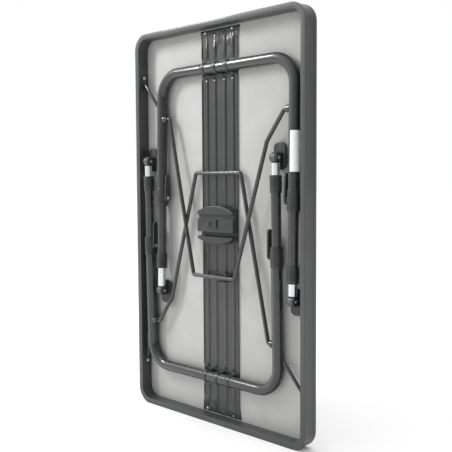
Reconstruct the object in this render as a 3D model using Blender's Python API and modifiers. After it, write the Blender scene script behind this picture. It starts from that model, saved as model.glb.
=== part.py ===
"""A folding table, stood on one short edge with its legs folded away.

The table is drawn in its own frame and then stood up by one empty: X across the width, Y along the
length, Z out of the underside, with Z = 0 on the underside of the panel. Each leg frame is drawn folded,
from its hinge axis towards its feet, and the second leg frame is the first one turned half way round.
All sizes are in metres and all angles in degrees unless a name says otherwise.
"""

import math

import bpy
import bmesh
from mathutils import Matrix, Vector

# Table top
WIDTH = 0.700
LENGTH = 1.200
CORNER_RADIUS = 0.050
FRAME_WIDTH = 0.0167
FRAME_TOP = 0.0396
PANEL_THICKNESS = 0.0092
RAIL_WALL = 0.0014
BEAD_DEPTH = 0.0012
BEAD_WIDTH = 0.0060
RAIL_CORNER_STEPS = 3
GAP = 0.0003

# Centre beam
SPINE_WIDTH = 0.150
SPINE_SHEET = 0.0012
SPINE_BEAD_HEIGHT = 0.0055
SPINE_BEADS = (-0.054, -0.020, 0.020, 0.054)
SPINE_BEAD_WIDTH = 0.014
SPINE_END = 0.5800
HINGE_NOTCH = 0.050

# Leg frames
HINGE_Y = 0.465
HINGE_Z = 0.0185
STOW_TILT = 1.0
FOLD_ANGLE = 98.0
TUBE_RADIUS = 0.0165
TUBE_WALL = 0.0012
BEND_RADIUS = 0.075
INNER_POST_X = -0.240
OUTER_POST_X = 0.300
POST_LENGTH = 0.405
STRAPS_X = (-0.045, 0.003, 0.051)
STRAP_WIDTH = 0.016
STRAP_THICKNESS = 0.0013
STRAP_FOOT_AT = 0.0220
STRAP_FOOT = 0.0060
FOOT_STRIP_HALF = 0.0016
HOOK_LOW, HOOK_HIGH = (0.0345, -0.1660, 0.0004), (0.0495, -0.1645, 0.0370)

# Legs, measured from the hinge axis along the post
CLAMP_NEAR, CLAMP_FAR = 0.357, 0.415
LEVER_AT = 0.388
LEVER_LENGTH = 0.075
LEVER_OFFSET = 0.0220
LEVER_THICKNESS = 0.0065
EXTENSION_RADIUS = 0.0140
EXTENSION_NEAR, EXTENSION_FAR = 0.300, 0.590
COLLAR_RADIUS = 0.0175
COLLAR_NEAR, COLLAR_FAR = 0.564, 0.612
FOOT_TUBE_RADIUS = 0.0125
FOOT_TUBE_NEAR, FOOT_TUBE_FAR = 0.500, 0.645
ANKLE_AT = 0.660
ANKLE_RADIUS = 0.0125
ANKLE_HALF = 0.0080
PIN_RADIUS = 0.0030
SOLE_DEPTH = 0.0260
FOOT_PLATE = 0.0090
FOOT_HALF_WIDTH = 0.0210
FOOT_HEEL, FOOT_TOE = 0.033, 0.041
FOOT_CORNER = 0.016
EAR_THICKNESS = 0.0040
LONGER_FOOT = 0.025

# Braces
BRACE_RADIUS = 0.0060
BRACE_PIVOT = 0.140
BRACE_LENGTH = 0.480
BRACE_BEND_FROM_PIVOT = 0.085
BRACE_BEND_X = 0.203
BRACE_FILLET = 0.0075
BRACE_TURN_IN = 0.0190
BRACE_END_GAP = 0.0015
BUSH_RADIUS = 0.0105
BUSH_SUNK, BUSH_PROUD = 0.0045, 0.0100
BRACE_HALF_WIDTH = {"a": 0.086, "b": 0.094}
BRACE_STOWED_Z = {"a": 0.034, "b": 0.013}

# Stays from the leg frames to the hinge rivets in the side rails
STAY_RADIUS = 0.0050
STAY_FROM = 0.095
TAB_X = 0.3305
TAB_THICKNESS = 0.0030
TAB_RADIUS = 0.0090
TAB_TAIL, TAB_TAIL_HALF = 0.038, 0.0050
STAY_END = -0.018
STAY_CLEAR = 0.0025

# Centre lock
LOCK_HALF_WIDTH = 0.075
LOCK_HALF_LENGTH = 0.0585
LOCK_BASE_Z = 0.0060
LOCK_TOP_Z = 0.0300
LOCK_ARCH = 27.8
LOCK_CHAMFER = 0.006
LOCK_GROOVES = [
    (0.0330, LOCK_TOP_Z),
    (0.0316, LOCK_TOP_Z - 0.002),
    (0.0316, 0.0208),
    (0.0205, 0.0208),
    (0.0140, 0.0250),
    (0.0045, 0.0250),
    (-0.0026, 0.0215),
    (-0.0139, 0.0158),
    (-0.0250, 0.0090),
    (-0.0352, 0.0090),
    (-0.0352, LOCK_TOP_Z - 0.002),
    (-0.0366, LOCK_TOP_Z),
]
POCKET_LOW, POCKET_HIGH = (-0.0470, 0.0050, 0.0130), (0.0030, 0.0140, 0.0300)
SLIDER_LOW, SLIDER_HIGH = (-0.0465, 0.0055, 0.0185), (-0.0065, 0.0135, 0.0253)
SLIDER_AXIS = (-0.0265, 0.0095, 0.0220)
SPRING_FROM, SPRING_LENGTH, SPRING_HEIGHT = -0.0460, 0.0440, 0.0158
SPRING_TURNS, SPRING_RADIUS, SPRING_WIRE = 5, 0.0018, 0.0003

LABEL_NEAR, LABEL_FAR = 0.200, 0.310
LABEL_FROM, LABEL_TO = -15, 95
LABEL_THICKNESS = 0.0003
STAND_BACK = 0.0187

COLOURS = {
    "panel": ((0.52, 0.53, 0.53), 0.62, 0.0),
    "frame_paint": ((0.085, 0.088, 0.090), 0.42, 0.6),
    "leg_paint": ((0.070, 0.073, 0.075), 0.38, 0.6),
    "dark_plastic": ((0.035, 0.036, 0.037), 0.55, 0.0),
    "bright_metal": ((0.70, 0.70, 0.71), 0.25, 1.0),
    "label": ((0.80, 0.80, 0.80), 0.60, 0.0),
}

SLOTS = {}
part_collection = bpy.data.collections.new("folding_table")
cutter_collection = bpy.data.collections.new("folding_table_cutters")


def clear_scene():
    """Removes every object, so that the script can be run again in one session."""
    for obj in list(bpy.data.objects):
        bpy.data.objects.remove(obj, do_unlink=True)
    bpy.context.scene.collection.children.link(part_collection)
    bpy.context.scene.collection.children.link(cutter_collection)


def material_for(slot):
    """The Principled material of one finish, made once."""
    if slot not in SLOTS:
        colour, roughness, metallic = COLOURS[slot]
        material = bpy.data.materials.new(slot)
        material.use_nodes = True
        shader = material.node_tree.nodes["Principled BSDF"]
        shader.inputs["Base Color"].default_value = (*colour, 1.0)
        shader.inputs["Roughness"].default_value = roughness
        shader.inputs["Metallic"].default_value = metallic
        SLOTS[slot] = material
    return SLOTS[slot]


def empty(name, parent=None, location=(0, 0, 0), rotation=(0, 0, 0)):
    """A frame to hang pieces on: its origin is a joint axis or a drawing origin."""
    obj = bpy.data.objects.new(name, None)
    part_collection.objects.link(obj)
    obj.parent = parent
    obj.location = location
    obj.rotation_euler = rotation
    return obj


def finish(obj, name, slot, parent, location=(0, 0, 0), rotation=(0, 0, 0)):
    """Names a piece, gives it its own copy of its finish and puts it in its parent's frame."""
    obj.name = name
    if obj.name not in part_collection.objects:
        part_collection.objects.link(obj)
    for collection in list(obj.users_collection):
        if collection is not part_collection:
            collection.objects.unlink(obj)
    obj.parent = parent
    obj.location = location
    obj.rotation_euler = rotation
    obj.data.materials.clear()
    own = material_for(slot).copy()
    own.name = name + "_" + slot
    obj.data.materials.append(own)
    return obj


def object_from(bm, name):
    """A mesh object from a bmesh, linked to the part."""
    mesh = bpy.data.meshes.new(name)
    bm.to_mesh(mesh)
    bm.free()
    obj = bpy.data.objects.new(name, mesh)
    part_collection.objects.link(obj)
    return obj


def smooth(obj, angle=35):
    """Shades round faces smooth and keeps the edges sharper than the angle."""
    obj.data.shade_smooth()
    obj.data.set_sharp_from_angle(angle=math.radians(angle))


def cuboid(name, low, high, bevel=0.0, segments=1):
    """A box between two corners, with its edges rounded by a Bevel modifier."""
    bm = bmesh.new()
    bmesh.ops.create_cube(bm, size=1.0)
    size = Vector(high) - Vector(low)
    centre = (Vector(high) + Vector(low)) / 2
    bmesh.ops.transform(bm, matrix=Matrix.Translation(centre) @ Matrix.Diagonal((*size, 1)), verts=bm.verts)
    obj = object_from(bm, name)
    if bevel:
        rounding = obj.modifiers.new("edges", "BEVEL")
        rounding.width = bevel
        rounding.segments = segments
    return obj


def turned(name, profile, steps=16, closed=True):
    """A profile of (radius, height) points turned round Z. A ring's profile is closed; a solid's ends on Z."""
    bm = bmesh.new()
    corners = [bm.verts.new((radius, 0.0, height)) for radius, height in profile]
    for first, second in zip(corners, corners[1:]):
        bm.edges.new((first, second))
    if closed:
        bm.edges.new((corners[-1], corners[0]))
    obj = object_from(bm, name)
    screw = obj.modifiers.new("turn", "SCREW")
    screw.steps = steps
    screw.render_steps = steps
    screw.use_merge_vertices = True
    screw.merge_threshold = 0.00001
    return obj


def baked(obj):
    """Applies an object's modifiers, for pieces that are cut or joined afterwards."""
    graph = bpy.context.evaluated_depsgraph_get()
    mesh = bpy.data.meshes.new_from_object(obj.evaluated_get(graph))
    bm = bmesh.new()
    bm.from_mesh(mesh)
    bmesh.ops.remove_doubles(bm, verts=bm.verts, dist=0.00001)
    bm.to_mesh(mesh)
    bm.free()
    result = bpy.data.objects.new(obj.name, mesh)
    result.matrix_world = obj.matrix_world
    part_collection.objects.link(result)
    bpy.data.objects.remove(obj, do_unlink=True)
    return result


def moved(obj, matrix):
    """Moves a baked mesh in its own drawing frame."""
    obj.data.transform(matrix)
    return obj


def across(obj, centre):
    """Lays a piece turned round Z along X, about a centre."""
    return moved(obj, Matrix.Translation(centre) @ Matrix.Rotation(math.radians(90), 4, "Y"))


def along(obj):
    """Lays a piece turned round Z along the leg, with its heights measured towards the feet."""
    return moved(obj, Matrix.Rotation(math.radians(90), 4, "X"))


def ring(name, outer, inner, near, far, steps=16):
    """A plain hollow cylinder round Z between two heights."""
    return baked(turned(name, [(outer, far), (outer, near), (inner, near), (inner, far)], steps))


def outline_plate(name, outlines, thickness):
    """A flat plate cut to closed outlines in XY, the later ones being holes, centred on Z = 0."""
    curve = bpy.data.curves.new(name, "CURVE")
    curve.dimensions = "2D"
    curve.fill_mode = "BOTH"
    curve.extrude = thickness / 2
    for outline in outlines:
        spline = curve.splines.new("POLY")
        spline.points.add(len(outline) - 1)
        for point, (x, y) in zip(spline.points, outline):
            point.co = (x, y, 0, 1)
        spline.use_cyclic_u = True
    obj = bpy.data.objects.new(name, curve)
    part_collection.objects.link(obj)
    return baked(obj)


def arc(centre, radius, start, end, steps):
    """Points along an arc in a plane, in degrees, both ends included."""
    points = []
    for step in range(steps + 1):
        angle = math.radians(start + (end - start) * step / steps)
        points.append((centre[0] + radius * math.cos(angle), centre[1] + radius * math.sin(angle)))
    return points


def filleted(points, radius, steps):
    """An open path of 3-D points with its corners replaced by arcs of one radius."""
    path = [Vector(points[0])]
    for before, corner, after in zip(points, points[1:], points[2:]):
        corner = Vector(corner)
        back = (Vector(before) - corner).normalized()
        ahead = (Vector(after) - corner).normalized()
        half = back.angle(ahead) / 2
        middle = corner + (back + ahead).normalized() * (radius / math.sin(half))
        start = corner + back * (radius / math.tan(half)) - middle
        end = corner + ahead * (radius / math.tan(half)) - middle
        for step in range(steps + 1):
            spoke = start.slerp(end, step / steps)
            path.append(middle + spoke.normalized() * radius)
    path.append(Vector(points[-1]))
    return path


def rod(name, path, radius, caps=True, resolution=2):
    """A round bar along a path, as a bevelled poly curve made into a mesh."""
    curve = bpy.data.curves.new(name, "CURVE")
    curve.dimensions = "3D"
    curve.bevel_depth = radius
    curve.bevel_resolution = resolution
    curve.use_fill_caps = caps
    spline = curve.splines.new("POLY")
    spline.points.add(len(path) - 1)
    for point, place in zip(spline.points, path):
        point.co = (*place, 1)
    obj = bpy.data.objects.new(name, curve)
    part_collection.objects.link(obj)
    return baked(obj)


def combine(obj, other, operation):
    """Joins another mesh to a piece or cuts it away, and removes the other mesh."""
    cut = obj.modifiers.new(operation.lower(), "BOOLEAN")
    cut.operation = operation
    cut.object = other
    cut.solver = "EXACT"
    bpy.context.view_layer.update()
    result = baked(obj)
    bpy.data.objects.remove(other, do_unlink=True)
    return result


def rail_section():
    """The rail's section: X out from its inner wall, Y up from the panel's underside."""
    outer = FRAME_WIDTH
    groove = outer - BEAD_DEPTH
    return [
        (0.0, GAP),
        (RAIL_WALL, GAP),
        (RAIL_WALL, FRAME_TOP - RAIL_WALL),
        (groove - RAIL_WALL, FRAME_TOP - RAIL_WALL),
        (groove - RAIL_WALL, -PANEL_THICKNESS),
        (outer - 0.0015, -PANEL_THICKNESS),
        (outer, -PANEL_THICKNESS + 0.0015),
        (outer, BEAD_WIDTH - PANEL_THICKNESS + 0.004),
        (groove, BEAD_WIDTH - PANEL_THICKNESS + 0.006),
        (groove, FRAME_TOP - BEAD_WIDTH - 0.002),
        (outer, FRAME_TOP - BEAD_WIDTH),
        (outer, FRAME_TOP - 0.002),
        (outer - 0.002, FRAME_TOP),
        (0.0, FRAME_TOP),
    ]


def rail(name, half_x, half_y, turn, parent):
    """One rail of the surround: a straight run with half of a rounded corner at each end."""
    inset = CORNER_RADIUS
    inner_radius = CORNER_RADIUS - FRAME_WIDTH
    short = math.degrees(GAP / CORNER_RADIUS)
    right = arc((half_x - inset, half_y - inset), inner_radius, 45 + short, 90, RAIL_CORNER_STEPS)
    left = arc((-half_x + inset, half_y - inset), inner_radius, 90, 135 - short, RAIL_CORNER_STEPS)
    path = [Vector((x, y, 0)) for x, y in right + left]
    section = rail_section()
    bm = bmesh.new()
    loops = []
    for index, point in enumerate(path):
        centre_x = half_x - inset if index <= RAIL_CORNER_STEPS else -half_x + inset
        outward = (point - Vector((centre_x, half_y - inset, 0))).normalized()
        loops.append([bm.verts.new(point + outward * x + Vector((0, 0, z))) for x, z in section])
    edges = []
    for loop in loops:
        edges.append([bm.edges.new((a, b)) for a, b in zip(loop, loop[1:] + loop[:1])])
    for first, second in zip(edges, edges[1:]):
        bmesh.ops.bridge_loops(bm, edges=first + second)
    bmesh.ops.contextual_create(bm, geom=edges[0])
    bmesh.ops.contextual_create(bm, geom=edges[-1])
    bmesh.ops.recalc_face_normals(bm, faces=bm.faces)
    obj = object_from(bm, name)
    moved(obj, Matrix.Rotation(math.radians(turn), 4, "Z"))
    smooth(obj, 40)
    return finish(obj, name, "frame_paint", parent)


def build_top(table):
    """The panel and the four rails of its surround."""
    edge_x = WIDTH / 2 - BEAD_DEPTH - RAIL_WALL - GAP
    edge_y = LENGTH / 2 - BEAD_DEPTH - RAIL_WALL - GAP
    radius = CORNER_RADIUS - BEAD_DEPTH - RAIL_WALL - GAP
    outline = []
    for x, y, start in ((1, 1, 0), (-1, 1, 90), (-1, -1, 180), (1, -1, 270)):
        outline += arc((x * (edge_x - radius), y * (edge_y - radius)), radius, start, start + 90, 6)
    panel = outline_plate("panel", [outline], PANEL_THICKNESS)
    moved(panel, Matrix.Translation((0, 0, -PANEL_THICKNESS / 2)))
    finish(panel, "panel", "panel", table)
    rail("end_rail_top", WIDTH / 2, LENGTH / 2, 0, table)
    rail("end_rail_bottom", WIDTH / 2, LENGTH / 2, 180, table)
    rail("side_rail_left", LENGTH / 2, WIDTH / 2, 90, table)
    rail("side_rail_right", LENGTH / 2, WIDTH / 2, -90, table)


def spine_line():
    """Half-open section of the centre beam's sheet: flat strips with four raised beads and turned-up edges."""
    low = GAP
    high = SPINE_BEAD_HEIGHT - SPINE_SHEET
    points = [(-SPINE_WIDTH / 2, high), (-SPINE_WIDTH / 2 + 0.002, low)]
    for centre in SPINE_BEADS:
        half = SPINE_BEAD_WIDTH / 2
        points += [(centre - half, low), (centre - half / 2, high), (centre + half / 2, high), (centre + half, low)]
    points += [(SPINE_WIDTH / 2 - 0.002, low), (SPINE_WIDTH / 2, high)]
    return points


def build_spine(table):
    """The pressed centre beam, its end rivets, the straps over the leg frames and the stow hook."""
    bm = bmesh.new()
    line = [bm.verts.new((x, -SPINE_END, z)) for x, z in spine_line()]
    edges = [bm.edges.new((a, b)) for a, b in zip(line, line[1:])]
    grown = bmesh.ops.extrude_edge_only(bm, edges=edges)["geom"]
    moving = [item for item in grown if isinstance(item, bmesh.types.BMVert)]
    bmesh.ops.translate(bm, vec=(0, 2 * SPINE_END, 0), verts=moving)
    bmesh.ops.recalc_face_normals(bm, faces=bm.faces)
    if sum(face.normal.z for face in bm.faces) < 0:
        bmesh.ops.reverse_faces(bm, faces=bm.faces)
    spine = object_from(bm, "spine")
    sheet = spine.modifiers.new("sheet", "SOLIDIFY")
    sheet.thickness = SPINE_SHEET
    sheet.offset = 1.0
    spine = baked(spine)
    for side in (1, -1):
        low = (-SPINE_WIDTH, side * HINGE_Y - HINGE_NOTCH / 2, GAP + SPINE_SHEET + 0.00005)
        high = (SPINE_WIDTH, side * HINGE_Y + HINGE_NOTCH / 2, 0.02)
        spine = combine(spine, cuboid("notch", low, high), "DIFFERENCE")
    spine = combine(spine, cuboid("hook", HOOK_LOW, HOOK_HIGH), "UNION")
    finish(spine, "spine", "frame_paint", table)

    base = GAP + SPINE_SHEET + GAP
    for leg, side in (("a", 1), ("b", -1)):
        saddle = None
        for x in STRAPS_X:
            saddle = strap(x, side) if saddle is None else combine(saddle, strap(x, side), "UNION")
        for y in (-STRAP_FOOT_AT, STRAP_FOOT_AT):
            low = (STRAPS_X[0] - STRAP_WIDTH * 0.6, side * HINGE_Y + y - FOOT_STRIP_HALF, base + 0.0002)
            high = (STRAPS_X[-1] + STRAP_WIDTH * 0.6, side * HINGE_Y + y + FOOT_STRIP_HALF, base + 0.0010)
            saddle = combine(saddle, cuboid("foot", low, high), "UNION")
        finish(saddle, "hinge_saddle_" + leg, "frame_paint", table)


def strap(x, side):
    """One steel strap over a leg frame's cross tube, with a flat foot each side of it."""
    base = GAP + SPINE_SHEET + GAP
    inner = TUBE_RADIUS + GAP
    outer = inner + STRAP_THICKNESS
    foot = STRAP_FOOT
    lift = HINGE_Z - base
    line = [(-outer - foot, -lift + STRAP_THICKNESS)]
    line += [(-outer, -lift + STRAP_THICKNESS)]
    line += arc((0, 0), outer, 180, 0, 10)
    line += [(outer, -lift + STRAP_THICKNESS), (outer + foot, -lift + STRAP_THICKNESS)]
    line += [(outer + foot, -lift), (inner, -lift)]
    line += arc((0, 0), inner, 0, 180, 10)
    line += [(-inner, -lift), (-outer - foot, -lift)]
    plate = outline_plate("strap", [line], STRAP_WIDTH)
    stand = Matrix(((0, 0, 1, x), (1, 0, 0, side * HINGE_Y), (0, 1, 0, HINGE_Z), (0, 0, 0, 1)))
    return moved(plate, stand)


def build_lock(table):
    """The centre lock: a grooved block, its sliding catch and the spring behind it."""
    section = [
        (-LOCK_HALF_LENGTH, LOCK_BASE_Z),
        (LOCK_HALF_LENGTH, LOCK_BASE_Z),
        (LOCK_HALF_LENGTH, LOCK_TOP_Z - LOCK_CHAMFER),
        (LOCK_HALF_LENGTH - LOCK_CHAMFER, LOCK_TOP_Z),
        *LOCK_GROOVES,
        (-LOCK_HALF_LENGTH + LOCK_CHAMFER, LOCK_TOP_Z),
        (-LOCK_HALF_LENGTH, LOCK_TOP_Z - LOCK_CHAMFER),
    ]
    block = outline_plate("lock_base", [section], 2 * LOCK_HALF_WIDTH)
    moved(block, Matrix(((0, 0, 1, 0), (1, 0, 0, 0), (0, 1, 0, 0), (0, 0, 0, 1))))
    bulge = LOCK_HALF_WIDTH / math.sin(math.radians(LOCK_ARCH))
    crown = (0, LOCK_HALF_LENGTH - bulge)
    root = (0, -LOCK_HALF_LENGTH + bulge)
    plan = arc(crown, bulge, 90 - LOCK_ARCH, 90 + LOCK_ARCH, 8)
    plan += arc(root, bulge, 270 - LOCK_ARCH, 270 + LOCK_ARCH, 8)
    trim = moved(outline_plate("trim", [plan], 0.1), Matrix.Translation((0, 0, 0.02)))
    block = combine(block, trim, "INTERSECT")
    block = combine(block, cuboid("pocket", POCKET_LOW, POCKET_HIGH), "DIFFERENCE")
    finish(block, "lock_base", "dark_plastic", table)

    slider = cuboid("slider", SLIDER_LOW, SLIDER_HIGH, 0.0008)
    carrier = empty("lock_slide_axis", table, SLIDER_AXIS)
    slider = moved(baked(slider), Matrix.Translation(-Vector(SLIDER_AXIS)))
    finish(slider, "lock_slider", "dark_plastic", carrier)

    steps = SPRING_TURNS * 8
    coil = []
    for step in range(steps + 1):
        angle = math.radians(45 * step)
        along_x = SPRING_FROM + SPRING_LENGTH * step / steps
        y = SLIDER_AXIS[1] + SPRING_RADIUS * math.cos(angle)
        coil.append((along_x, y, SPRING_HEIGHT + SPRING_RADIUS * math.sin(angle)))
    finish(rod("lock_spring", coil, SPRING_WIRE, resolution=1), "lock_spring", "bright_metal", table)


def build_leg_frame(leg, hinge):
    """The bent tube of one leg pair, with its welded brace bushes, and its stays to the side rails."""
    corners = [
        (INNER_POST_X, -POST_LENGTH, 0),
        (INNER_POST_X, 0, 0),
        (OUTER_POST_X, 0, 0),
        (OUTER_POST_X, -POST_LENGTH, 0),
    ]
    tube = rod("frame", filleted(corners, BEND_RADIUS, 5), TUBE_RADIUS, caps=False)
    wall = tube.modifiers.new("wall", "SOLIDIFY")
    wall.thickness = TUBE_WALL
    wall.offset = -1.0
    tube = baked(tube)
    for post, inward in ((INNER_POST_X, 1), (OUTER_POST_X, -1)):
        face = post + inward * TUBE_RADIUS
        bush = ring("bush", BUSH_RADIUS, BRACE_RADIUS + GAP, 0.0, BUSH_SUNK + BUSH_PROUD, 14)
        low = min(face - inward * BUSH_SUNK, face + inward * BUSH_PROUD)
        tube = combine(tube, across(bush, (low, -BRACE_PIVOT, 0)), "UNION")
    smooth(tube)
    finish(tube, "leg_frame_" + leg, "leg_paint", hinge)

    for side, post, out in (("inner", INNER_POST_X, -1), ("outer", OUTER_POST_X, 1)):
        reach = TAB_X - STAY_RADIUS - (STAY_CLEAR if out > 0 else 0.0)
        start = abs(post) + TUBE_RADIUS + STAY_RADIUS + GAP
        first = (out * (reach if out > 0 else start), -STAY_FROM, 0)
        bar = rod("stay", [first, (out * (reach + TAB_THICKNESS / 2), STAY_END, 0)], STAY_RADIUS)
        shape = arc((0, 0), TAB_RADIUS, -20, 200, 10) + [(-TAB_TAIL_HALF, -TAB_TAIL), (TAB_TAIL_HALF, -TAB_TAIL)]
        eye = arc((0, 0), PIN_RADIUS + GAP, 0, 330, 11)
        tab = outline_plate("tab", [shape, eye], TAB_THICKNESS)
        moved(tab, Matrix(((0, 0, out, out * TAB_X), (0, 1, 0, 0), (-out, 0, 0, 0), (0, 0, 0, 1))))
        stay = combine(bar, tab, "UNION")
        finish(stay, "stay_" + leg + "_" + side, "leg_paint", hinge)


def build_brace(leg, hinge):
    """The bent rod that props one leg pair, hung on its pivot axis in the leg frame."""
    tilt = math.radians(STOW_TILT)
    pivot_z = HINGE_Z + BRACE_PIVOT * math.sin(tilt)
    rise = math.asin((BRACE_STOWED_Z[leg] - pivot_z) / BRACE_LENGTH)
    pivot = empty("brace_pivot_" + leg, hinge, (0, -BRACE_PIVOT, 0), (tilt - rise, 0, 0))
    half = BRACE_HALF_WIDTH[leg]
    inner_face = INNER_POST_X + TUBE_RADIUS
    outer_face = OUTER_POST_X - TUBE_RADIUS
    corners = [
        (inner_face + BRACE_END_GAP, 0, 0),
        (inner_face + BRACE_TURN_IN, 0, 0),
        (-half, -BRACE_LENGTH, 0),
        (half, -BRACE_LENGTH, 0),
        (BRACE_BEND_X, -BRACE_BEND_FROM_PIVOT, 0),
        (outer_face - BRACE_TURN_IN, 0, 0),
        (outer_face - BRACE_END_GAP, 0, 0),
    ]
    brace = rod("brace", filleted(corners, BRACE_FILLET, 3), BRACE_RADIUS)
    smooth(brace)
    finish(brace, "brace_" + leg, "leg_paint", pivot)


def build_clamp(name, post, inward, hinge):
    """The clamp at the end of a post: a stepped sleeve with a boss for the lever."""
    step = POST_LENGTH + 0.0005
    sleeve = turned(
        "sleeve",
        [
            (0.0200, CLAMP_FAR),
            (0.0205, CLAMP_FAR - 0.002),
            (0.0205, CLAMP_NEAR + 0.002),
            (0.0190, CLAMP_NEAR),
            (TUBE_RADIUS + GAP, CLAMP_NEAR),
            (TUBE_RADIUS + GAP, step),
            (EXTENSION_RADIUS + GAP, step),
            (EXTENSION_RADIUS + GAP, CLAMP_FAR),
        ],
        16,
    )
    sleeve = along(baked(sleeve))
    boss_out = LEVER_OFFSET - GAP
    low_x, high_x = sorted((inward * 0.0180, inward * boss_out))
    boss = cuboid("boss", (low_x, -LEVER_AT - 0.009, -0.008), (high_x, -LEVER_AT + 0.009, 0.008), 0.001)
    clamp = combine(sleeve, baked(boss), "UNION")
    smooth(clamp)
    return finish(clamp, name, "dark_plastic", hinge, (post, 0, 0))


def build_lever(name, post, inward, points_up, hinge):
    """The clamp's lever: a flat curved handle on a rivet. points_up is +1 towards the hinge, -1 towards the feet."""
    eye, tip = 0.0085, 0.0045
    reach = LEVER_LENGTH - tip
    shape = arc((0, 0), eye, 180, 360, 6)
    shape += [(eye, 0.010), (0.0065, 0.022)]
    shape += arc((-0.001, reach), tip, 0, 180, 5)
    shape += [(-0.0075, 0.020), (-eye, 0.008)]
    hole = arc((0, 0), PIN_RADIUS + GAP, 0, 330, 11)
    handle = outline_plate("handle", [shape, hole], LEVER_THICKNESS)
    centre = inward * (LEVER_OFFSET + LEVER_THICKNESS / 2)
    stand = Matrix(((0, 0, inward, centre), (0, points_up, 0, 0), (-inward, 0, 0, 0), (0, 0, 0, 1)))
    moved(handle, stand)
    if stand.determinant() < 0:
        handle.data.flip_normals()
    axis = empty(name + "_axis", hinge, (post, -LEVER_AT, 0))
    return finish(handle, name, "dark_plastic", axis)


def build_lever_rivet(name, post, inward, hinge):
    """The bright rivet that a lever turns on."""
    inner = LEVER_OFFSET + GAP
    head = LEVER_OFFSET + LEVER_THICKNESS + GAP
    profile = [(0.0, head + 0.0022), (0.0035, head + 0.0018), (0.0052, head), (PIN_RADIUS, head)]
    profile += [(PIN_RADIUS, inner), (0.0, inner)]
    rivet = baked(turned("rivet", profile, 12, closed=False))
    if inward < 0:
        moved(rivet, Matrix.Rotation(math.radians(180), 4, "Y"))
    return finish(across(rivet, (0, -LEVER_AT, 0)), name, "bright_metal", hinge, (post, 0, 0))


def build_extension(name, post, hinge):
    """The tube that slides in the post."""
    tube = along(ring(name, EXTENSION_RADIUS, EXTENSION_RADIUS - 0.0010, EXTENSION_NEAR, EXTENSION_FAR))
    smooth(tube)
    return finish(tube, name, "leg_paint", hinge, (post, 0, 0))


def build_collar(name, post, hinge):
    """The twist collar on the end of the extension tube, with two turned grip grooves."""
    seat = EXTENSION_FAR + 0.0005
    grip = COLLAR_RADIUS - 0.0008
    profile = [
        (COLLAR_RADIUS - 0.0015, COLLAR_FAR),
        (COLLAR_RADIUS, COLLAR_FAR - 0.0020),
        (COLLAR_RADIUS, COLLAR_FAR - 0.0120),
        (grip, COLLAR_FAR - 0.0140),
        (grip, COLLAR_NEAR + 0.0160),
        (COLLAR_RADIUS, COLLAR_NEAR + 0.0140),
        (COLLAR_RADIUS - 0.0010, COLLAR_NEAR),
        (EXTENSION_RADIUS + GAP, COLLAR_NEAR),
        (EXTENSION_RADIUS + GAP, seat),
        (FOOT_TUBE_RADIUS + GAP, seat),
        (FOOT_TUBE_RADIUS + GAP, COLLAR_FAR),
    ]
    collar = along(baked(turned(name, profile, 16)))
    smooth(collar)
    return finish(collar, name, "dark_plastic", hinge, (post, 0, 0))


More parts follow.
